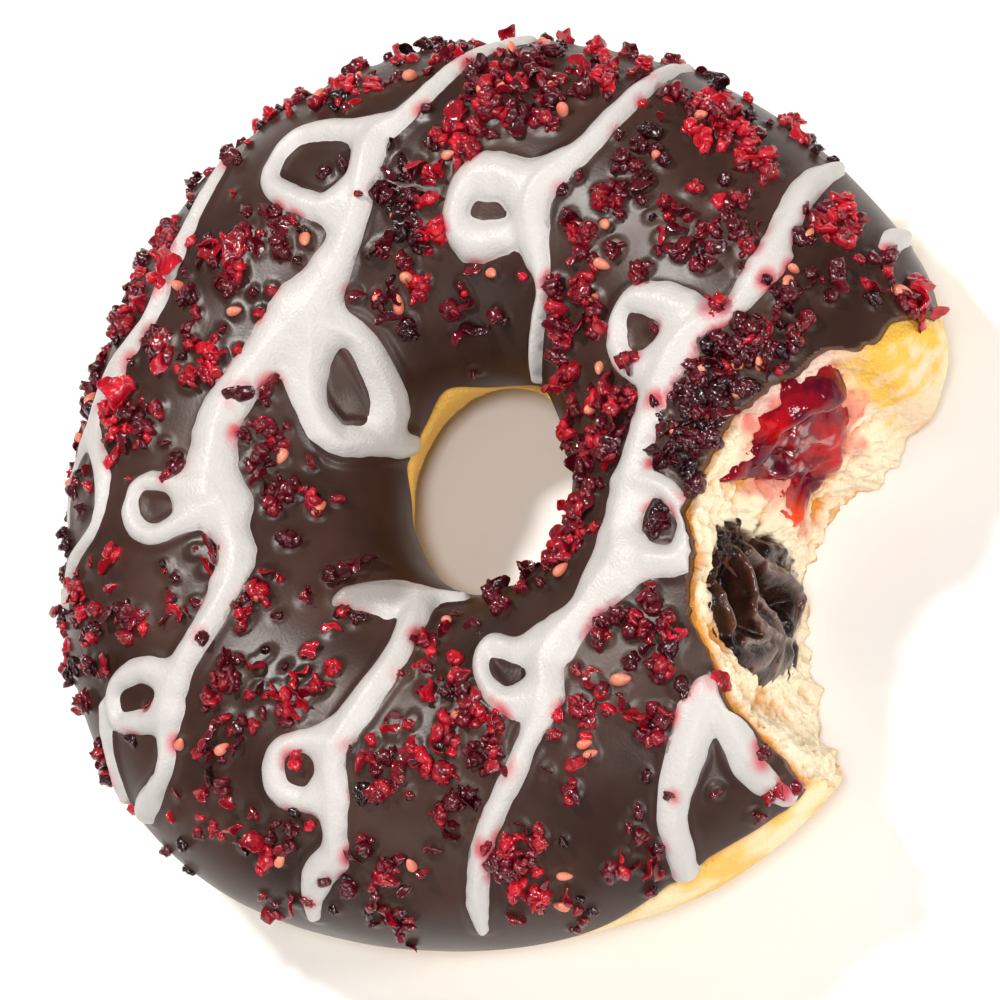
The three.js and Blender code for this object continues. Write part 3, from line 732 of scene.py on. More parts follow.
# The chocolate cream: fat, cocoa and sugar beaten smooth, and squeezed out of its tunnel by the bite
# into folds with sharp crests over one broad soft lobe.
CREAM_MIDDLE = np.array([17, -24.8, MIDDLE_HEIGHT])
CREAM_ALONG = np.array([0.522, 0.853, 0])
CREAM_OUT = np.array([0.853, -0.522, 0])
CREAM_TILT = math.radians(30)
CREAM_VOXEL = 0.2
CREAM_GRID = 0.14
CREAM_WEB = 0.16
CREAM_DEPTH = 3
# A fold is how steeply it falls away, how round its crest is, and places along the wall, up the tilted
# face and out of it, in mm.
CREAM_FOLDS = [
    (1.5, 0.2, [(-0.8, 8.3, 5.8), (-2.2, 7.7, 6.3), (-3.5, 6.8, 6.1), (-4.8, 5.8, 5.4)]),
    (1.9, 0.12, [(3.2, 5.1, 4.9), (2.1, 4.5, 5.3), (0.9, 3.8, 5.3), (-0.5, 3.2, 5.2), (-2.2, 3.4, 5.2),
                 (-3, 2.4, 4.8), (-3.8, 1, 4.2), (-4.7, 0.1, 3.4)]),
    (1.6, 0.2, [(3.7, 3.4, 4.2), (3.4, 1.7, 3.9), (3.3, -0.7, 3)]),
    (1.7, 0.25, [(2.7, 0.8, 3.6), (2.7, -0.8, 3.2), (2.9, -3, 2.3), (2.6, -5, 1.4), (1.9, -7, 0),
                 (0.4, -7.2, -0.4), (-0.9, -6.8, -0.5)]),
    (1.8, 0.12, [(-0.9, 2.8, 5), (-1.2, 0.5, 3.9), (-1.8, -1.9, 2.6), (-2.6, -3.3, 1.7)]),
    (1.8, 0.12, [(-2.2, 3.4, 5.2), (-2.9, 1.7, 4.4), (-3.2, 0.4, 3.9), (-3.2, -2.2, 2.6),
                 (-2.7, -5.4, 0.6)]),
    (1.3, 0.8, [(0.4, -5.8, 0), (-1.3, -5, 0.6)]),
    (2, 1, [(-6.3, 5.8, 5.6), (-6.7, 4.4, 5.4), (-6.2, 2, 4.7), (-5.4, 0.3, 4), (-4.1, -2.1, 2.6)]),
    (2.6, 1.9, [(-6.6, 5.8, 5), (-7.1, 4, 4.8), (-7.2, 1.6, 4), (-6.8, -0.6, 3.1), (-5.6, -2.8, 2),
                (-4, -5, 0.9)]),
    (2.8, 1.6, [(-7.8, 3.4, 3.2), (-7.9, 0.2, 2), (-7.6, -2.6, 0.8), (-6.4, -5, -0.2), (-4.6, -7.2, -1.2),
                (-2.6, -7.8, -1.6)]),
    (1.7, 0.3, [(-1.5, 9.2, 5.4), (-4.3, 8.8, 5.2), (-6.3, 6.8, 4.6)]),
    (1.6, 0.2, [(-5.6, 4.6, 5.7), (-5, 2.6, 5), (-4.2, 0.6, 4.4)]),
    (1.6, 0.2, [(-7.6, 2.6, 4.7), (-6.4, 0.4, 4.2), (-4.6, -1.2, 3.5)]),
    (1.6, 0.2, [(-6.6, -1.6, 3), (-5, -2.6, 2.6), (-3.2, -3.2, 2.2)]),
    (1.6, 0.3, [(4.6, 0.4, 3.2), (5.4, -2.4, 1.8), (5.9, -4.6, 0.2)]),
    (2.6, 0.1, [(5.6, -3.8, 0.9), (6, -5.9, -0.9), (6.4, -8, -3)]),
    (2.4, 0.1, [(3.8, -3.7, 1.6), (4.4, -6.1, -0.4), (5, -8.3, -2.8)]),
    (2.4, 0.1, [(-1.7, -6.4, -0.2), (-1.6, -8.2, -2.1), (-1.4, -9.6, -3.8)]),
]
CREAM_SPECKS = [
    (-9.4, 0.6), (-9.3, -2.3), (-3.2, -9.4), (4.4, 6.6), (5.4, 5), (2.6, 7.4), (1.2, 8.6), (5.2, 3.2),
    (6.3, 1.4), (3.4, 6.2), (0.2, 9.2), (6.6, 3.8), (-8.2, 5.2), (4.2, 8),
]
CREAM_FACE = CREAM_OUT * math.cos(CREAM_TILT) + np.array([0, 0, math.sin(CREAM_TILT)])
CREAM_RISE = np.array([0, 0, math.cos(CREAM_TILT)]) - CREAM_OUT * math.sin(CREAM_TILT)


def cream_place(along, rise, out):
    """A place over the cream's tilted face."""
    place = np.outer(along, CREAM_ALONG) + np.outer(rise, CREAM_RISE) + np.outer(out, CREAM_FACE)
    return CREAM_MIDDLE + place


alongs = np.arange(-11, 8, CREAM_GRID)
rises = np.arange(-9.6, 10.5, CREAM_GRID)
along, rise = (grid.ravel() for grid in np.meshgrid(alongs, rises, indexing="ij"))
flat = np.stack([along, rise, 0 * rise], -1)
wall = rise * math.tan(CREAM_TILT)
on_folds = ease(along + 0.5 * rise, -6.5, -4.5)
drift = 0.22 * on_folds[:, None] * np.stack([lumps(flat, 2.2, 41), lumps(flat, 2.2, 42)], -1)
swayed = flat[:, :2] + drift
mouth = np.hypot((along + 1.2) / 6.4, (rise - 1.2) / 7.4)
total = np.exp((wall - 0.9 - 6 * np.clip(mouth - 1, 0, 1)) / CREAM_WEB)
specks = []
for speck_along, speck_rise in CREAM_SPECKS:
    at_wall = speck_rise * math.tan(CREAM_TILT)
    tip = (speck_along, speck_rise, at_wall + 0.8)
    specks.append((1.4, 0.3, [tip, (speck_along + 0.5, speck_rise - 0.3, at_wall)]))
for steep, crest, route in CREAM_FOLDS + specks:
    path = spline(route, 0.2, False)
    away = np.hypot(swayed[:, :1] - path[:, 0], swayed[:, 1:] - path[:, 1])
    total += np.exp((path[:, 2] - steep * (np.hypot(away, crest) - crest)).max(1) / CREAM_WEB)
creases = 1 - 2.5 * np.abs(lumps(flat, 2.4, 45) + 0.4 * lumps(flat, 1.1, 46))
uneven = 0.16 * lumps(flat, 1.4, 43) + 0.1 * lumps(flat, 0.7, 44) + 0.28 * np.clip(creases, 0, 1)
out = CREAM_WEB * np.log(total) + uneven * (0.1 + 0.9 * on_folds)
covers = (out > wall - 2.4).reshape(len(alongs), len(rises))
face = sheet(cream_place(along, rise, out), cream_place(along, rise, wall - CREAM_DEPTH), covers)
rope = cream_rope(CREAM_MIDDLE - 2.4 * CREAM_OUT, 0, 0.4, ROPE_SHRINK)
cream = make_mesh("chocolate_cream_filling", *gather([right_way_out(*face), right_way_out(*rope)]))
melt(cream, CREAM_VOXEL, 1)
points = points_of(cream)
from_middle = points - CREAM_MIDDLE
spots = np.stack([from_middle @ CREAM_ALONG, from_middle @ CREAM_RISE, from_middle @ CREAM_FACE], -1)
crests = np.vstack([spline(route, 0.2, False) for steep, crest, route in CREAM_FOLDS if crest < 0.3])
gap = np.array([np.sqrt(((crests - spot) ** 2).sum(1).min()) for spot in spots])
# Painted light: the crests are painted warm brown, as light coming through them; they also get a wet coat
paint(cream, "lit_crest", 0.8 * bell(gap, 0, 0.5))

tree, cream_finish = new_material("beaten_chocolate_cream")
# Cocoa in fat: nearly black, with the crests of its folds painted warm brown as light shining
# through them, and a soft wet gloss
where = add_node(tree, "TexCoord", {}, {}, "Object")
swirl = add_node(tree, "TexNoise", {}, {"Vector": where, "Scale": 1 / (2.5 * MM), "Detail": 3})
cloudy = add_node(tree, "MapRange", {}, {"Value": swirl, "From Min": 0.4, "From Max": 0.65})
mass = add_node(tree, "Mix", {"data_type": "RGBA"}, {
    SHARE: cloudy, FIRST: linear("#1c0d0a"), SECOND: linear("#341c14")}, BLENDED)
lit_crest = add_node(tree, "Attribute", {"attribute_name": "lit_crest"}, {}, "Fac")
body = add_node(tree, "Mix", {"data_type": "RGBA"}, {
    SHARE: lit_crest, FIRST: mass, SECOND: linear("#5c2f1c")}, BLENDED)
skin_noise = add_node(tree, "TexNoise", {}, {"Vector": where, "Scale": 1 / (0.7 * MM), "Detail": 3})
relief = add_node(tree, "Bump", {}, {
    "Strength": 0.5, "Distance": 0.25 * MM, "Height": skin_noise})
surface = add_node(tree, "BsdfPrincipled", {"subsurface_method": "RANDOM_WALK"}, {
    "Base Color": body, "Roughness": 0.22, "IOR": 1.46, "Specular IOR Level": 0.3,
    "Subsurface Weight": 0.15, "Subsurface Radius": (1.0, 0.4, 0.25), "Subsurface Scale": 0.6 * MM,
    "Coat Weight": lit_crest, "Coat IOR": 1.7, "Coat Roughness": 0.2, "Normal": relief})
dress(cream, cream_finish, surface)
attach(cream, "root")
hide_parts("chocolate_cream")

# The chocolate: the ring's top was dipped in melted dark chocolate, which ran to an uneven edge and
# set about 1 mm thick. It swells over the dough's dents, and where it was bitten it broke cleanly.
GLAZE_THICKNESS = 0.9
GLAZE_SPAN = 60
GLAZE_COLUMNS = 900
GLAZE_ROWS = 200
GLAZE_BACK_ROWS = 14
LIP = 0.75


def edge_angle(height):
    """Where on the ring's section a height over its middle plane is reached."""
    return np.arcsin(height / np.where(height > 0, TOP_HALF, BOTTOM_HALF))


columns = 2 * math.pi * np.arange(GLAZE_COLUMNS) / GLAZE_COLUMNS
start = edge_angle(outer_glaze_edge(columns))[:, None]
end = math.pi - edge_angle(inner_glaze_edge(columns))[:, None]
share = np.linspace(0, 1, GLAZE_ROWS)
share = share - 0.06 * np.sin(2 * math.pi * share)
to_edge = np.minimum(share, 1 - share) * GLAZE_SPAN
inset = GLAZE_THICKNESS * (1 - np.sqrt(1 - (1 - np.clip(to_edge / LIP, 0, 1)) ** 2))
front = ring_point(columns[:, None], start + (end - start) * share, inset)
flat = front.reshape(-1, 3)
swell = 0.22 * lumps(flat, 11, 51) + 0.06 * lumps(flat, 4.5, 52)
swell = swell.reshape(front.shape[:2]) * ease(to_edge, 0, 1.5)
angle = start + (end - start) * share
outwards = np.stack([np.cos(angle) * np.cos(columns)[:, None], np.cos(angle) * np.sin(columns)[:, None],
                     np.sin(angle)], -1)
front = front + outwards * (swell - SETTLED)[..., None]
back_share = np.linspace(1, 0, GLAZE_BACK_ROWS)
rear = ring_point(columns[:, None], start + (end - start) * back_share, GLAZE_THICKNESS + 0.05)
glaze = solid_mesh("chocolate_glaze", *loft(np.concatenate([front, rear], 1), True))


def snapped_bite():
    """The bite through the chocolate: it snaps along short straight cracks."""
    facings = np.arange(-86, 86, 0.6)
    heights = np.arange(8, 34, 2.0)
    height, facing = np.meshgrid(heights, facings, indexing="ij")
    radius = bite_radius(facing, height, 0) + 0.35
    flat = bite_point(facing, 0 * height, BITE_RADIUS).reshape(-1, 3)
    ragged = 0.55 * lumps(flat, 3.1, 55) + 0.35 * lumps(flat, 1.3, 56) + 0.22 * lumps(flat, 0.6, 57)
    return bite_space("snapped_bite", facing, height, radius + ragged.reshape(radius.shape))


carve(glaze, snapped_bite())
points = points_of(glaze)
facing, beyond = bite_place(points)
to_bite = np.array([BITE_X, BITE_Y]) - points[:, :2]
to_bite /= np.linalg.norm(to_bite, axis=1, keepdims=True)
faces_bite = np.einsum("ij,ij->i", outward(glaze)[:, :2], to_bite)
paint(glaze, "snapped", ease(faces_bite, 0.35, 0.7) * (1 - ease(beyond, 2.5, 3.5)))

tree, glaze_finish = new_material("set_dark_chocolate")
# Coating chocolate melted and left to set: an even dark brown with a satin sheen that dulls in
# patches, and a grain drawn 0.3 mm across so that it shows
where = add_node(tree, "TexCoord", {}, {}, "Object")
cloud = add_node(tree, "TexNoise", {}, {"Vector": where, "Scale": 1 / (9 * MM), "Detail": 3})
bloom = add_node(tree, "MapRange", {}, {"Value": cloud, "From Min": 0.35, "From Max": 0.68})
body = add_node(tree, "Mix", {"data_type": "RGBA"}, {
    SHARE: bloom, FIRST: linear("#2f1c16"), SECOND: linear("#422b23")}, BLENDED)
snapped = add_node(tree, "Attribute", {"attribute_name": "snapped"}, {}, "Fac")
broken = add_node(tree, "Mix", {"data_type": "RGBA"}, {
    SHARE: snapped, FIRST: body, SECOND: linear("#5a3826")}, BLENDED)
dull = add_node(tree, "MapRange", {}, {
    "Value": cloud, "From Min": 0.3, "From Max": 0.7, "To Min": 0.3, "To Max": 0.42})
grain = add_node(tree, "TexNoise", {}, {"Vector": where, "Scale": 1 / (0.3 * MM), "Detail": 3})
relief = add_node(tree, "Bump", {}, {"Strength": 0.12, "Distance": 0.12 * MM, "Height": grain})
surface = add_node(tree, "BsdfPrincipled", {}, {
    "Base Color": broken, "Roughness": dull, "IOR": 1.47, "Specular IOR Level": 0.36,
    "Normal": relief})
dress(glaze, glaze_finish, surface)
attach(glaze, "root")
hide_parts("glaze")

# The icing: icing sugar and water piped to and fro over the chocolate from one bag, with a small curl
# at each turn of the hand. It settles to flat ropes with round shoulders that web together where they
# meet, and the chocolate, still soft, climbs their sides in a small wave.
QUARTER_ARC = 25.5
INWARD_SQUEEZE = 0.75
ICING_HEIGHT = 0.6
ICING_HEIGHT_BY_WIDTH = 0.35
ICING_SINK = 0.4
ICING_WEB = 0.6
ICING_TRIM = 0.15
ICING_SHOULDER = 1.1
ICING_GRID = 0.2
ICING_VOXEL = 0.22
ICING_WAVE = 0.18
ICING_WAVE_WIDTH = 0.5
PLAN_REACH = 56
# Ropes are rows of x, y and half width in mm, on a flattened plan of the ring's top.
ICING_ROPES = [
    [(27.5, 39, 0.9), (20.5, 36.5, 1.1), (13, 33, 1.3), (9, 32.5, 2), (5, 28.5, 1.6), (0.5, 26, 1.6),
     (-6, 23.5, 2)],
    [(8, 34, 1.4), (5, 36.5, 1.3), (2, 38, 1.2), (-1, 37, 1.1), (-2.5, 34.5, 1.2), (0.5, 30, 1.5),
     (3.5, 29, 1.5)],
    [(-6.5, 42.5, 0.9), (-10.5, 38.5, 1.2), (-15.5, 34, 1.5), (-20, 30.5, 1.1), (-26, 28.5, 1.8),
     (-31, 25, 1.4), (-31.2, 19, 1.3), (-34, 14.6, 0.9), (-39, 14, 0.9), (-43, 12, 0.7)],
    [(-32, 25, 1.2), (-36, 24, 0.8), (-39, 22, 0.6), (-39.5, 19, 0.5)],
    [(-7.5, 23, 2.2), (-11.5, 21.5, 1.6), (-18, 17.5, 1.7), (-22, 12.5, 2), (-23.5, 10, 2.5)],
    [(-23, 11, 1.2), (-27, 14.5, 1), (-29, 14, 1), (-30, 11.5, 1.2), (-28.5, 9, 1.2), (-23.5, 8.5, 1.4)],
    [(-23, 9, 1.6), (-24, 5.5, 1.3), (-25, 2, 1.5), (-28, -2, 1.6), (-34, -6, 1.5), (-38, -11, 1.2),
     (-45, -12, 1.6)],
    [(-33, -5, 1.4), (-35, -2, 1.4), (-38, -1, 1.2), (-40, -2, 1.1), (-40, -4.5, 1.1), (-35, -7.5, 1.5)],
    [(-41.5, -1.5, 0.8), (-44, -4.5, 0.8), (-46, -7, 0.8), (-48, -9, 0.9)],
    [(-6, 23, 2), (-11, 17, 1.6), (-12, 12, 2), (-9.5, 11, 1.9), (-5, 8.6, 1.3)],
    [(-5.5, 22.5, 1.6), (-3, 20.5, 1.9), (-3.5, 17, 2.1), (-4.5, 14.5, 2.1), (-6.5, 11.5, 2)],
    [(42, 28, 0.8), (31.5, 21, 1.4), (26, 18.5, 1.5), (20.5, 17.5, 2.2), (19, 11.5, 1), (17, 9, 1.1),
     (13, 6, 0.8)],
    [(20, 19.5, 1.8), (18, 22, 1.9), (16, 23, 1.7), (14, 22.5, 1.6), (13, 21, 1.6), (14, 19, 1.6),
     (17, 17, 1.1)],
    [(49, 7.5, 1), (43, 4.5, 1.5), (37.5, 0, 1.4), (35.5, -2, 1.8), (31, -4.5, 1.3), (27, -4.5, 2.2),
     (22.5, -9, 1.4), (18.5, -13.5, 1.5), (13.7, -18.8, 1.9), (11.6, -21.5, 2.4), (6, -24, 1.5),
     (0.5, -25.5, 1.9), (-1, -27.5, 1.8), (-5, -30.5, 1.3), (-14, -36, 1.3), (-18.5, -40.5, 1.3),
     (-21, -43.5, 0.8)],
    [(28, -2, 1.6), (26.5, 1, 1.4), (25, 2.5, 1.2), (23.5, 1, 1), (23, -2.5, 1.1), (24, -5, 1.5)],
    [(17.2, -15.2, 1.5), (18.7, -17, 1.1), (18.9, -19.5, 1), (18, -21.8, 1), (16, -23.4, 1.5),
     (14, -22.6, 1.6)],
    [(1.5, -25, 1.6), (-2, -24, 1.3), (-5, -22, 1.1), (-6.5, -23.5, 1.1), (-5.5, -26.5, 1.2),
     (-2, -28, 1.4)],
    [(-19, -7.5, 1.2), (-14, -10.5, 2.3), (-12, -12.5, 1.8), (-15, -17.5, 1.8), (-22, -20.5, 1.7),
     (-24, -24, 1.8), (-26, -27, 1.4), (-27.5, -28.5, 1.8), (-31, -29, 1.7), (-36, -32, 0.9)],
    [(-12, -12, 1.6), (-9.5, -12, 1), (-7, -13, 0.8)],
    [(-22, -20, 1.6), (-24.5, -18, 1.3), (-27, -17.5, 1.4), (-28.5, -20, 1.4), (-27, -22.5, 1.2),
     (-24, -23.5, 1.5)],
    [(0.5, -49, 1.6), (3, -42.5, 1.6), (7.5, -38, 2), (10, -36, 2.2), (12, -35.5, 1.9), (11.5, -43, 1.8),
     (13, -48, 1.4)],
    [(46.8, -4.2, 0.8), (49.2, -3.2, 1.4), (52.4, -2.2, 1.2)],
]


def on_glaze(x, y, lift):
    """The chocolate's surface under a place on the flattened plan."""
    azimuth = np.arctan2(y, x)
    crown = (outer_radius(azimuth) + hole_radius(azimuth)) / 2
    beyond = np.hypot(x, y) - crown
    way = np.where(beyond > 0, beyond, beyond / INWARD_SQUEEZE)
    return ring_point(azimuth, math.pi / 2 * (1 - way / QUARTER_ARC), -lift)


icing_paths = [spline(route, 0.4, False) for route in ICING_ROPES]


def icing_depth(x, y):
    """How far inside the icing's edge places on the plan are; ropes that meet run together."""
    total = np.full(x.shape, 1e-6)
    for path in icing_paths:
        low, high = path[:, :2].min(0) - 5, path[:, :2].max(0) + 5
        close = (x > low[0]) & (x < high[0]) & (y > low[1]) & (y < high[1])
        away = np.hypot(x[close][:, None] - path[:, 0], y[close][:, None] - path[:, 1])
        total[close] += np.exp((path[:, 2] - away).max(1, initial=-9) / ICING_WEB)
    return ICING_WEB * np.log(total) - ICING_TRIM


across = np.arange(-PLAN_REACH, PLAN_REACH, ICING_GRID)
x, y = (grid.ravel() for grid in np.meshgrid(across, across, indexing="ij"))
flat = np.stack([x, y, 0 * x], -1)
depth = icing_depth(x, y) + 0.14 * lumps(flat, 2.2, 61) + 0.08 * lumps(flat, 0.9, 62)
shoulder = np.sqrt(1 - (1 - np.clip(depth / ICING_SHOULDER, 0, 1)) ** 2)
body = (ICING_HEIGHT + ICING_HEIGHT_BY_WIDTH * np.clip(depth, 0, 2.4)) * (1 + 0.13 * lumps(flat, 3.5, 63))
lift = np.where(depth > 0, shoulder * body, depth.clip(-ICING_SINK, 0))
covers = (depth > -ICING_SINK).reshape(len(across), len(across))
under = on_glaze(x, y, -0.6)
icing = solid_mesh("white_icing", *sheet(on_glaze(x, y, lift), under, covers))
melt(icing, ICING_VOXEL, 3)
carve(icing, snapped_bite())
icing_plan = np.vstack(icing_paths)


def search_tree(points):
    """The points sorted for finding those that are near a place."""
    tree = KDTree(len(points))
    for i, point in enumerate(points):
        tree.insert(point, i)
    tree.balance()
    return tree


def nearest(points, targets):
    """Distance to, and number of, the nearest target for each point."""
    tree = search_tree(targets)
    found = [tree.find(point)[1:] for point in points]
    return np.array([f[1] for f in found]), np.array([f[0] for f in found])


points = points_of(glaze)
reach, which = nearest(points, on_glaze(icing_plan[:, 0], icing_plan[:, 1], 0))
to_icing = np.clip(reach - icing_plan[which, 2], 0, None)
wave = ICING_WAVE * np.exp(-(to_icing / ICING_WAVE_WIDTH) ** 2)
move_points(glaze, points + outward(glaze) * wave[:, None])

# The raspberry: freeze-dried fruit, broken up and strewn over chocolate and icing that were still
# wet. It has drawn water from them, so it is glossy, and has bled pink into the icing. It falls as
# clusters of drupelets, loose crumbs, crumpled skins and seeds.

# Drifts are a place on the flattened plan, how far it scatters in mm, how many pieces fell, and from
# dark (0) to fresh red (1). The big pieces have their kind, place, size in mm and how fresh they are.
DRIFTS = [
    (8, 41, 1.3, 10, 0.9), (13, 39, 2, 6, 0.6), (20, 35, 2, 9, 0.5), (27, 33, 2.2, 8, 0.5),
    (31, 27, 1.8, 10, 0.8), (36, 24, 2.2, 4, 0.3), (47, 17, 1.5, 3, 0.9), (19, 30, 1.8, 13, 0.6),
    (24, 26, 2.2, 20, 0.5), (16, 27, 2, 12, 0.7), (8, 26, 1.8, 20, 0.2), (12, 23, 1.8, 9, 0.9),
    (6, 21, 1.8, 13, 0.6), (1, 21, 2, 7, 0.3), (10, 16, 2, 6, 0.4), (16, 14, 2, 6, 0.5),
    (31, 14, 2.2, 13, 0.3), (38, 15, 2, 17, 0.9), (39, 9, 2.2, 9, 0.5), (31, 5, 2, 13, 0.5),
    (35, 1, 1.8, 8, 0.4), (25, 11, 1.8, 13, 0.5), (21, 7, 2, 18, 0.6), (36, -5, 2.2, 13, 0.4),
    (43, 0, 2, 15, 0.8), (47, -10, 1.5, 5, 0.8), (31, -8, 1.8, 14, 0.5), (27, -10, 1.6, 26, 0.2),
    (22, -13, 1.8, 24, 0.2), (21, -5, 1.8, 15, 0.6), (18, 3, 1.8, 9, 0.7), (16, -9, 2, 17, 0.5),
    (15, -2, 1.6, 6, 0.7), (11, -15, 2.2, 11, 0.6), (7, -17, 1.8, 10, 0.7), (-2, -17, 2.2, 7, 0.4),
    (-15, 37, 1.8, 10, 0.9), (-22, 34, 2, 10, 0.8), (-19, 27, 1.8, 12, 0.4), (-17, 22, 1.6, 14, 0.9),
    (-28, 23, 1.8, 16, 0.9), (-25, 19, 2, 12, 0.5), (-36, 10, 1.8, 5, 0.8), (-44, 7, 2.5, 5, 0.9),
    (-9, 31, 1.8, 12, 0.6), (-3, 29, 2, 10, 0.4), (-13, 29, 2, 10, 0.4), (-9, 25, 1.6, 8, 0.7),
    (-14, 18, 1.8, 9, 0.4), (-19, 13, 1.8, 14, 0.4), (-20, 8, 1.6, 17, 0.4), (-20, -7, 1.4, 6, 0.3),
    (-26, -3, 1.6, 12, 0.6), (-28, 2, 2.2, 9, 0.5), (-35, 4, 2.2, 8, 0.5), (-28, -8, 1.6, 8, 0.4),
    (-24, -14, 2, 15, 0.8), (-31, -13, 1.8, 11, 0.5), (-36, -17, 2.2, 9, 0.7), (-33, -23, 2.2, 10, 0.6),
    (-12, -19, 2, 14, 0.6), (-9, -25, 1.8, 12, 0.5), (-14, -26, 2, 14, 0.7), (-9, -30, 1.6, 7, 0.5),
    (-19, -25, 1.8, 10, 0.6), (-14, -32, 2, 9, 0.3), (-24, -31, 2.2, 15, 0.5), (-27, -38, 1.6, 5, 0.5),
    (-12, -37, 1.8, 13, 0.6), (-11, -43, 1.6, 7, 0.8), (1, -31, 2.4, 14, 0.6), (6, -33, 2, 9, 0.5),
    (-2, -45, 2.2, 11, 0.6), (8, -27, 2, 12, 0.7), (12, -29, 2, 17, 0.3), (14, -41, 1.5, 3, 0.4),
    (25, -12.5, 1.6, 24, 0.15), (30, -9.5, 1.8, 18, 0.25), (21.5, -15.5, 1.1, 14, 0.15),
    (34, -8, 1.8, 12, 0.3), (24, -8.5, 1.1, 12, 0.2), (16.8, -20.1, 0.5, 4, 0.2),
]
BIG_PIECES = [
    ("raspberry_skins", 47.3, -11, 2.1, 0.95), ("raspberry_seeds", 45.5, -9.2, 1.15, 0.5),
    ("raspberry_clusters", -27.7, 21.7, 2, 1), ("raspberry_skins", -25.5, 24.5, 1.9, 1),
    ("raspberry_skins", -15.5, 34.7, 2.1, 1), ("raspberry_clusters", -17, 33, 1.6, 1),
    ("raspberry_skins", 13.2, -34.4, 1.2, 0.9), ("raspberry_dark_clusters", 12.9, -41.8, 1.2, 0.4),
    ("raspberry_skins", 13.4, -46.4, 1.3, 0.6), ("raspberry_dark_clusters", 9.5, -47.6, 1.3, 0.5),
]
FULLNESS = 1.45
HIDDEN_SIDE_PIECES = 150
HIDDEN_SIDE_AZIMUTHS = (15, 190)
HIDDEN_SIDE_REACH = (40, 52)
DUST_PIECES = 260
DARK_BELOW = 0.45
STAYS_ON_ICING = 0.13
LOWEST_FRUIT = -4
FRUIT_WAVE = 0.22
FRUIT_WAVE_WIDTH = 0.37
DRIFT_SHARES = [0.26, 0.44, 0.265, 0.035]
DUST_SHARES = [0.02, 0.85, 0.1, 0.03]
HIDDEN_SHARES = [0.3, 0.45, 0.2, 0.05]
draw = np.random.default_rng(17)


def ball(subdivisions):
    """Points and triangles of a round ball of radius 1."""
    made = bmesh.new()
    bmesh.ops.create_icosphere(made, subdivisions=subdivisions, radius=1)
    points = np.array([v.co for v in made.verts])
    triangles = np.array([[v.index for v in f.verts] for f in made.faces])
    made.free()
    return points, triangles


def random_turn():
    """A random rotation."""
    axis_and_spin = draw.normal(size=4)
    tilt = Vector((0, 0, 1)).rotation_difference(Vector(axis_and_spin[:3])).to_matrix()
    return np.array(tilt) @ np.array(Matrix.Rotation(axis_and_spin[3], 3, "Z"))


def bunch(count, reach, small, large):
    """Broken drupelets stuck together: sharp shards at all angles, with painted shade towards the middle.
    """
    shard, faces = BALLS[2]
    grains, shade_and_tone = [], []
    for i in range(count):
        rough = 1 + draw.uniform(-0.34, 0.34, len(shard))
        shape = shard * rough[:, None] * draw.uniform(0.35, 1.25, 3) * draw.uniform(small, large)
        away = draw.normal(size=3) * [1, 1, 0.6]
        away *= reach * draw.random() ** 0.5 / np.linalg.norm(away)
        shape = shape @ random_turn().T + away
        grains.append((shape, faces))
        outward_share = np.clip(np.linalg.norm(shape, axis=1) / (reach + 0.4), 0, 1)
        shade_and_tone.append(draw.uniform(-0.25, 0.55) + 0.55 * outward_share)
    return *gather(grains), np.concatenate(shade_and_tone)


def cluster_shape(size):
    """A cluster of 7 to 12 shards."""
    return bunch(round(draw.uniform(7, 12)), size * 0.7, 0.42, 0.85)


def crumb_shape(size):
    """A crumb of 2 to 4 shards."""
    return bunch(round(draw.uniform(1.5, 4)), size * 0.45, 0.35, 0.75)


def skin_shape(size):
    """A piece of skin, paper-thin and crumpled."""
    points, triangles = BALLS[3]
    stretched = points * [1.25, 0.85, 0.12]
    spot = stretched * size + draw.uniform(0, 50, 3)
    flat_spot = spot * [1, 1, 0]
    shape = stretched * (1 + 0.35 * lumps(flat_spot, 0.8, 76))[:, None]
    shape[:, 2] += 0.5 * lumps(flat_spot, 1.1, 77) + 0.22 * lumps(flat_spot, 0.5, 78)
    return shape * size, triangles, 0.55 + 0.45 * lumps(spot, 0.6, 79)


def seed_shape(size):
    """A seed: a smooth drop, pinched along one side."""
    points, triangles = BALLS[3]
    shape = points * [1.0, 0.62, 0.5]
    shape[:, 1] *= 1 - 0.3 * points[:, 0]
    shape[:, 2] *= 1 - 0.25 * points[:, 0]
    return shape * size, triangles, 0.5 + 0 * points[:, 0]


BALLS = {n: ball(n) for n in (2, 3)}
# Each kind's shape, its smallest and largest size in mm, and how much of its size it stands up by
KINDS = {
    "raspberry_clusters": (cluster_shape, 0.9, 1.6, 0.2),
    "raspberry_crumbs": (crumb_shape, 0.45, 0.9, 0.15),
    "raspberry_skins": (skin_shape, 0.7, 1.4, 0.3),
    "raspberry_seeds": (seed_shape, 0.75, 1.1, 0.3),
    "raspberry_dark_clusters": (cluster_shape, 0.9, 1.6, 0.2),
}
strewn_kinds = list(KINDS)[:4]
fallen = []


def fall(x, y, kind, tone):
    """One piece comes down, unless it lands where the bite is or well onto the icing."""
    shape, small, large, lift = KINDS[kind]
    size = small + (large - small) * draw.random() ** 1.6
    place = on_glaze(x, y, 0)
    off_bite = math.hypot(place[0] - BITE_X, place[1] - BITE_Y) - BITE_RADIUS
    to_icing = -icing_depth(np.array([x]), np.array([y]))[0]
    on_icing = to_icing < size * 0.3
    too_low = place[2] - MIDDLE_HEIGHT < LOWEST_FRUIT
    if off_bite < 0.5 + size * 0.4 or too_low or (on_icing and draw.random() > STAYS_ON_ICING):
        return
    outwards = on_glaze(x, y, 1) - place
    place = place + outwards * (size * lift + (0.8 if to_icing < -0.4 else 0))
    tone = np.clip(tone + draw.normal(0, 0.16), 0, 1)
    if kind == "raspberry_clusters" and tone < DARK_BELOW:
        kind = "raspberry_dark_clusters"
    fallen.append((kind, place, size, tone))


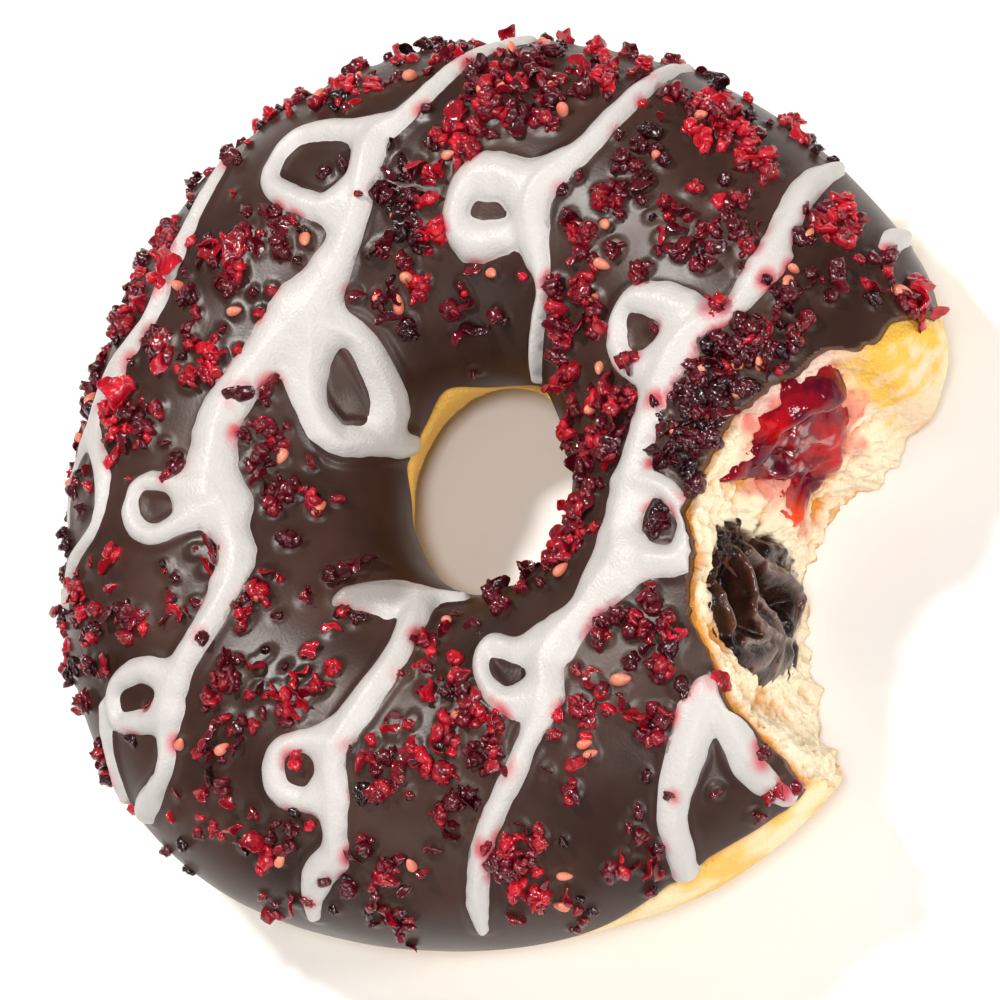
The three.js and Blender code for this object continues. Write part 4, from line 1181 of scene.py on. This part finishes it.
for kind, x, y, size, tone in BIG_PIECES:
    fallen.append((kind, on_glaze(x, y, size * KINDS[kind][3]), size, tone))
for x, y, spread, count, tone in DRIFTS:
    for i in range(round(count * FULLNESS)):
        away = spread * draw.normal(size=2)
        kind = strewn_kinds[draw.choice(4, p=DRIFT_SHARES)]
        fall(x + away[0], y + away[1], kind, tone)
for i in range(DUST_PIECES + HIDDEN_SIDE_PIECES):
    azimuth = draw.uniform(-math.pi, math.pi)
    reach_out = 16 + 36 * math.sqrt(draw.random())
    hidden = i >= DUST_PIECES
    if hidden:
        azimuth = math.radians(draw.uniform(*HIDDEN_SIDE_AZIMUTHS))
        reach_out = draw.uniform(*HIDDEN_SIDE_REACH)
    tone = draw.uniform(0, 1) ** 1.3
    kind = strewn_kinds[draw.choice(4, p=HIDDEN_SHARES if hidden else DUST_SHARES)]
    fall(reach_out * math.cos(azimuth), reach_out * math.sin(azimuth), kind, tone)

tree, raspberry_finish = new_material("freeze_dried_raspberry")
# Dried fruit that has taken up water: juice-dark to bright red by each piece's tone, with painted shade
# in the middle of each cluster, and wet
where = add_node(tree, "TexCoord", {}, {}, "Object")
tone = add_node(tree, "Attribute", {"attribute_name": "tone"}, {}, "Fac")
low = add_node(tree, "MapRange", {}, {"Value": tone, "From Min": 0.0, "From Max": 0.55})
high_part = add_node(tree, "MapRange", {}, {"Value": tone, "From Min": 0.5, "From Max": 1.0})
dark = add_node(tree, "Mix", {"data_type": "RGBA"}, {
    SHARE: low, FIRST: linear("#20040a"), SECOND: linear("#62091a")}, BLENDED)
fruit = add_node(tree, "Mix", {"data_type": "RGBA"}, {
    SHARE: high_part, FIRST: dark, SECOND: linear("#c01226")}, BLENDED)
pith = add_node(tree, "TexNoise", {}, {"Vector": where, "Scale": 1 / (0.35 * MM), "Detail": 3})
relief = add_node(tree, "Bump", {}, {"Strength": 0.4, "Distance": 0.15 * MM, "Height": pith})
surface = add_node(tree, "BsdfPrincipled", {"subsurface_method": "RANDOM_WALK"}, {
    "Base Color": fruit, "Roughness": 0.18, "IOR": 1.42,
    "Subsurface Weight": 0.15, "Subsurface Radius": (1.0, 0.15, 0.15), "Subsurface Scale": 0.5 * MM,
    "Coat Weight": 0.4, "Coat Roughness": 0.05, "Normal": relief})
add_node(tree, "OutputMaterial", {}, {"Surface": surface})

tree, seed_finish = new_material("raspberry_seed_hull")
# A hard hull, salmon and smooth, with fine pits
where = add_node(tree, "TexCoord", {}, {}, "Object")
blotch = add_node(tree, "TexNoise", {}, {"Vector": where, "Scale": 1 / (1.2 * MM), "Detail": 2})
hull = add_node(tree, "Mix", {"data_type": "RGBA"}, {
    SHARE: blotch, FIRST: linear("#e79c7c"), SECOND: linear("#cf5548")}, BLENDED)
pits = add_node(tree, "TexNoise", {}, {"Vector": where, "Scale": 1 / (0.25 * MM), "Detail": 2})
relief = add_node(tree, "Bump", {}, {"Strength": 0.25, "Distance": 0.08 * MM, "Height": pits})
surface = add_node(tree, "BsdfPrincipled", {}, {
    "Base Color": hull, "Roughness": 0.32, "IOR": 1.5, "Normal": relief})
add_node(tree, "OutputMaterial", {}, {"Surface": surface})

for kind in KINDS:
    parts, tones = [], []
    for place, size, tone in [piece[1:] for piece in fallen if piece[0] == kind]:
        points, triangles, shade_and_tone = KINDS[kind][0](size)
        parts.append((points @ random_turn().T + place, triangles))
        # Painted shade: a cluster's inner shards get a darker tone
        tones.append(np.clip(tone * (0.55 + 0.7 * shade_and_tone), 0, 1))
    piece = make_mesh(kind, *gather(parts))
    paint(piece, "tone", np.concatenate(tones))
    is_seed = kind == "raspberry_seeds"
    piece.data.materials.append(seed_finish if is_seed else raspberry_finish)
    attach(piece, "root")


def wet(piece, places, radii, height, width):
    """Raises a soft surface in a small wave round each thing in it; waves that meet run together."""
    points = points_of(piece)
    tree = search_tree(points)
    level = np.ones(len(points))
    for place, radius in zip(places, radii):
        found = tree.find_range(place, radius + 3 * width)
        index = np.array([f[1] for f in found], int)
        reach = np.clip(np.array([f[2] for f in found]) - radius, 0, None)
        level[index] *= 1 - np.exp(-(reach / width) ** 2)
    move_points(piece, points + outward(piece) * (height * (1 - level))[:, None])


places = np.array([piece[1] for piece in fallen])
sizes = np.array([piece[2] for piece in fallen])
wet(glaze, places, sizes * 0.7, FRUIT_WAVE, FRUIT_WAVE_WIDTH)
icing_points = points_of(icing)
icing_reach, which = nearest(icing_points, places)
bled = (1 - ease(icing_reach - sizes[which], -0.3, 1.1)) * ease(lumps(icing_points, 2.5, 81), -0.6, 0.5)
paint(icing, "bled", bled)
veil = spline([(-20, -7.6), (-17.5, -8.6), (-15, -10)], 0.4, False)
veil_reach = nearest(icing_points, on_glaze(veil[:, 0], veil[:, 1], 0.5))[0]
paint(icing, "veil", 0.8 * (1 - ease(veil_reach, 1, 3.2)))

tree, icing_finish = new_material("piped_sugar_icing")
# Icing sugar and water, piped wet: waxy and off-white, with sugar grains drawn 0.3 mm across so that
# they show, pink where fruit has bled, and a grey veil where it ran thin over the chocolate
where = add_node(tree, "TexCoord", {}, {}, "Object")
bled = add_node(tree, "Attribute", {"attribute_name": "bled"}, {}, "Fac")
milky = add_node(tree, "TexNoise", {}, {"Vector": where, "Scale": 1 / (4 * MM), "Detail": 2})
sugar = add_node(tree, "Mix", {"data_type": "RGBA"}, {
    SHARE: milky, FIRST: linear("#cbc8c5"), SECOND: linear("#bcb9b7")}, BLENDED)
veil = add_node(tree, "Attribute", {"attribute_name": "veil"}, {}, "Fac")
veiled = add_node(tree, "Mix", {"data_type": "RGBA"}, {
    SHARE: veil, FIRST: sugar, SECOND: linear("#857f7c")}, BLENDED)
pinked = add_node(tree, "Mix", {"data_type": "RGBA"}, {
    SHARE: bled, FIRST: veiled, SECOND: linear("#c43a50")}, BLENDED)
grains = add_node(tree, "TexNoise", {}, {"Vector": where, "Scale": 1 / (0.3 * MM), "Detail": 2})
relief = add_node(tree, "Bump", {}, {
    "Strength": 0.38, "Distance": 0.2 * MM, "Height": grains})
surface = add_node(tree, "BsdfPrincipled", {"subsurface_method": "RANDOM_WALK"}, {
    "Base Color": pinked, "Roughness": 0.36, "IOR": 1.45, "Specular IOR Level": 0.4,
    "Subsurface Weight": 0.1, "Subsurface Radius": (1.0, 0.85, 0.75), "Subsurface Scale": 1.0 * MM,
    "Normal": relief})
dress(icing, icing_finish, surface)
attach(icing, "root")
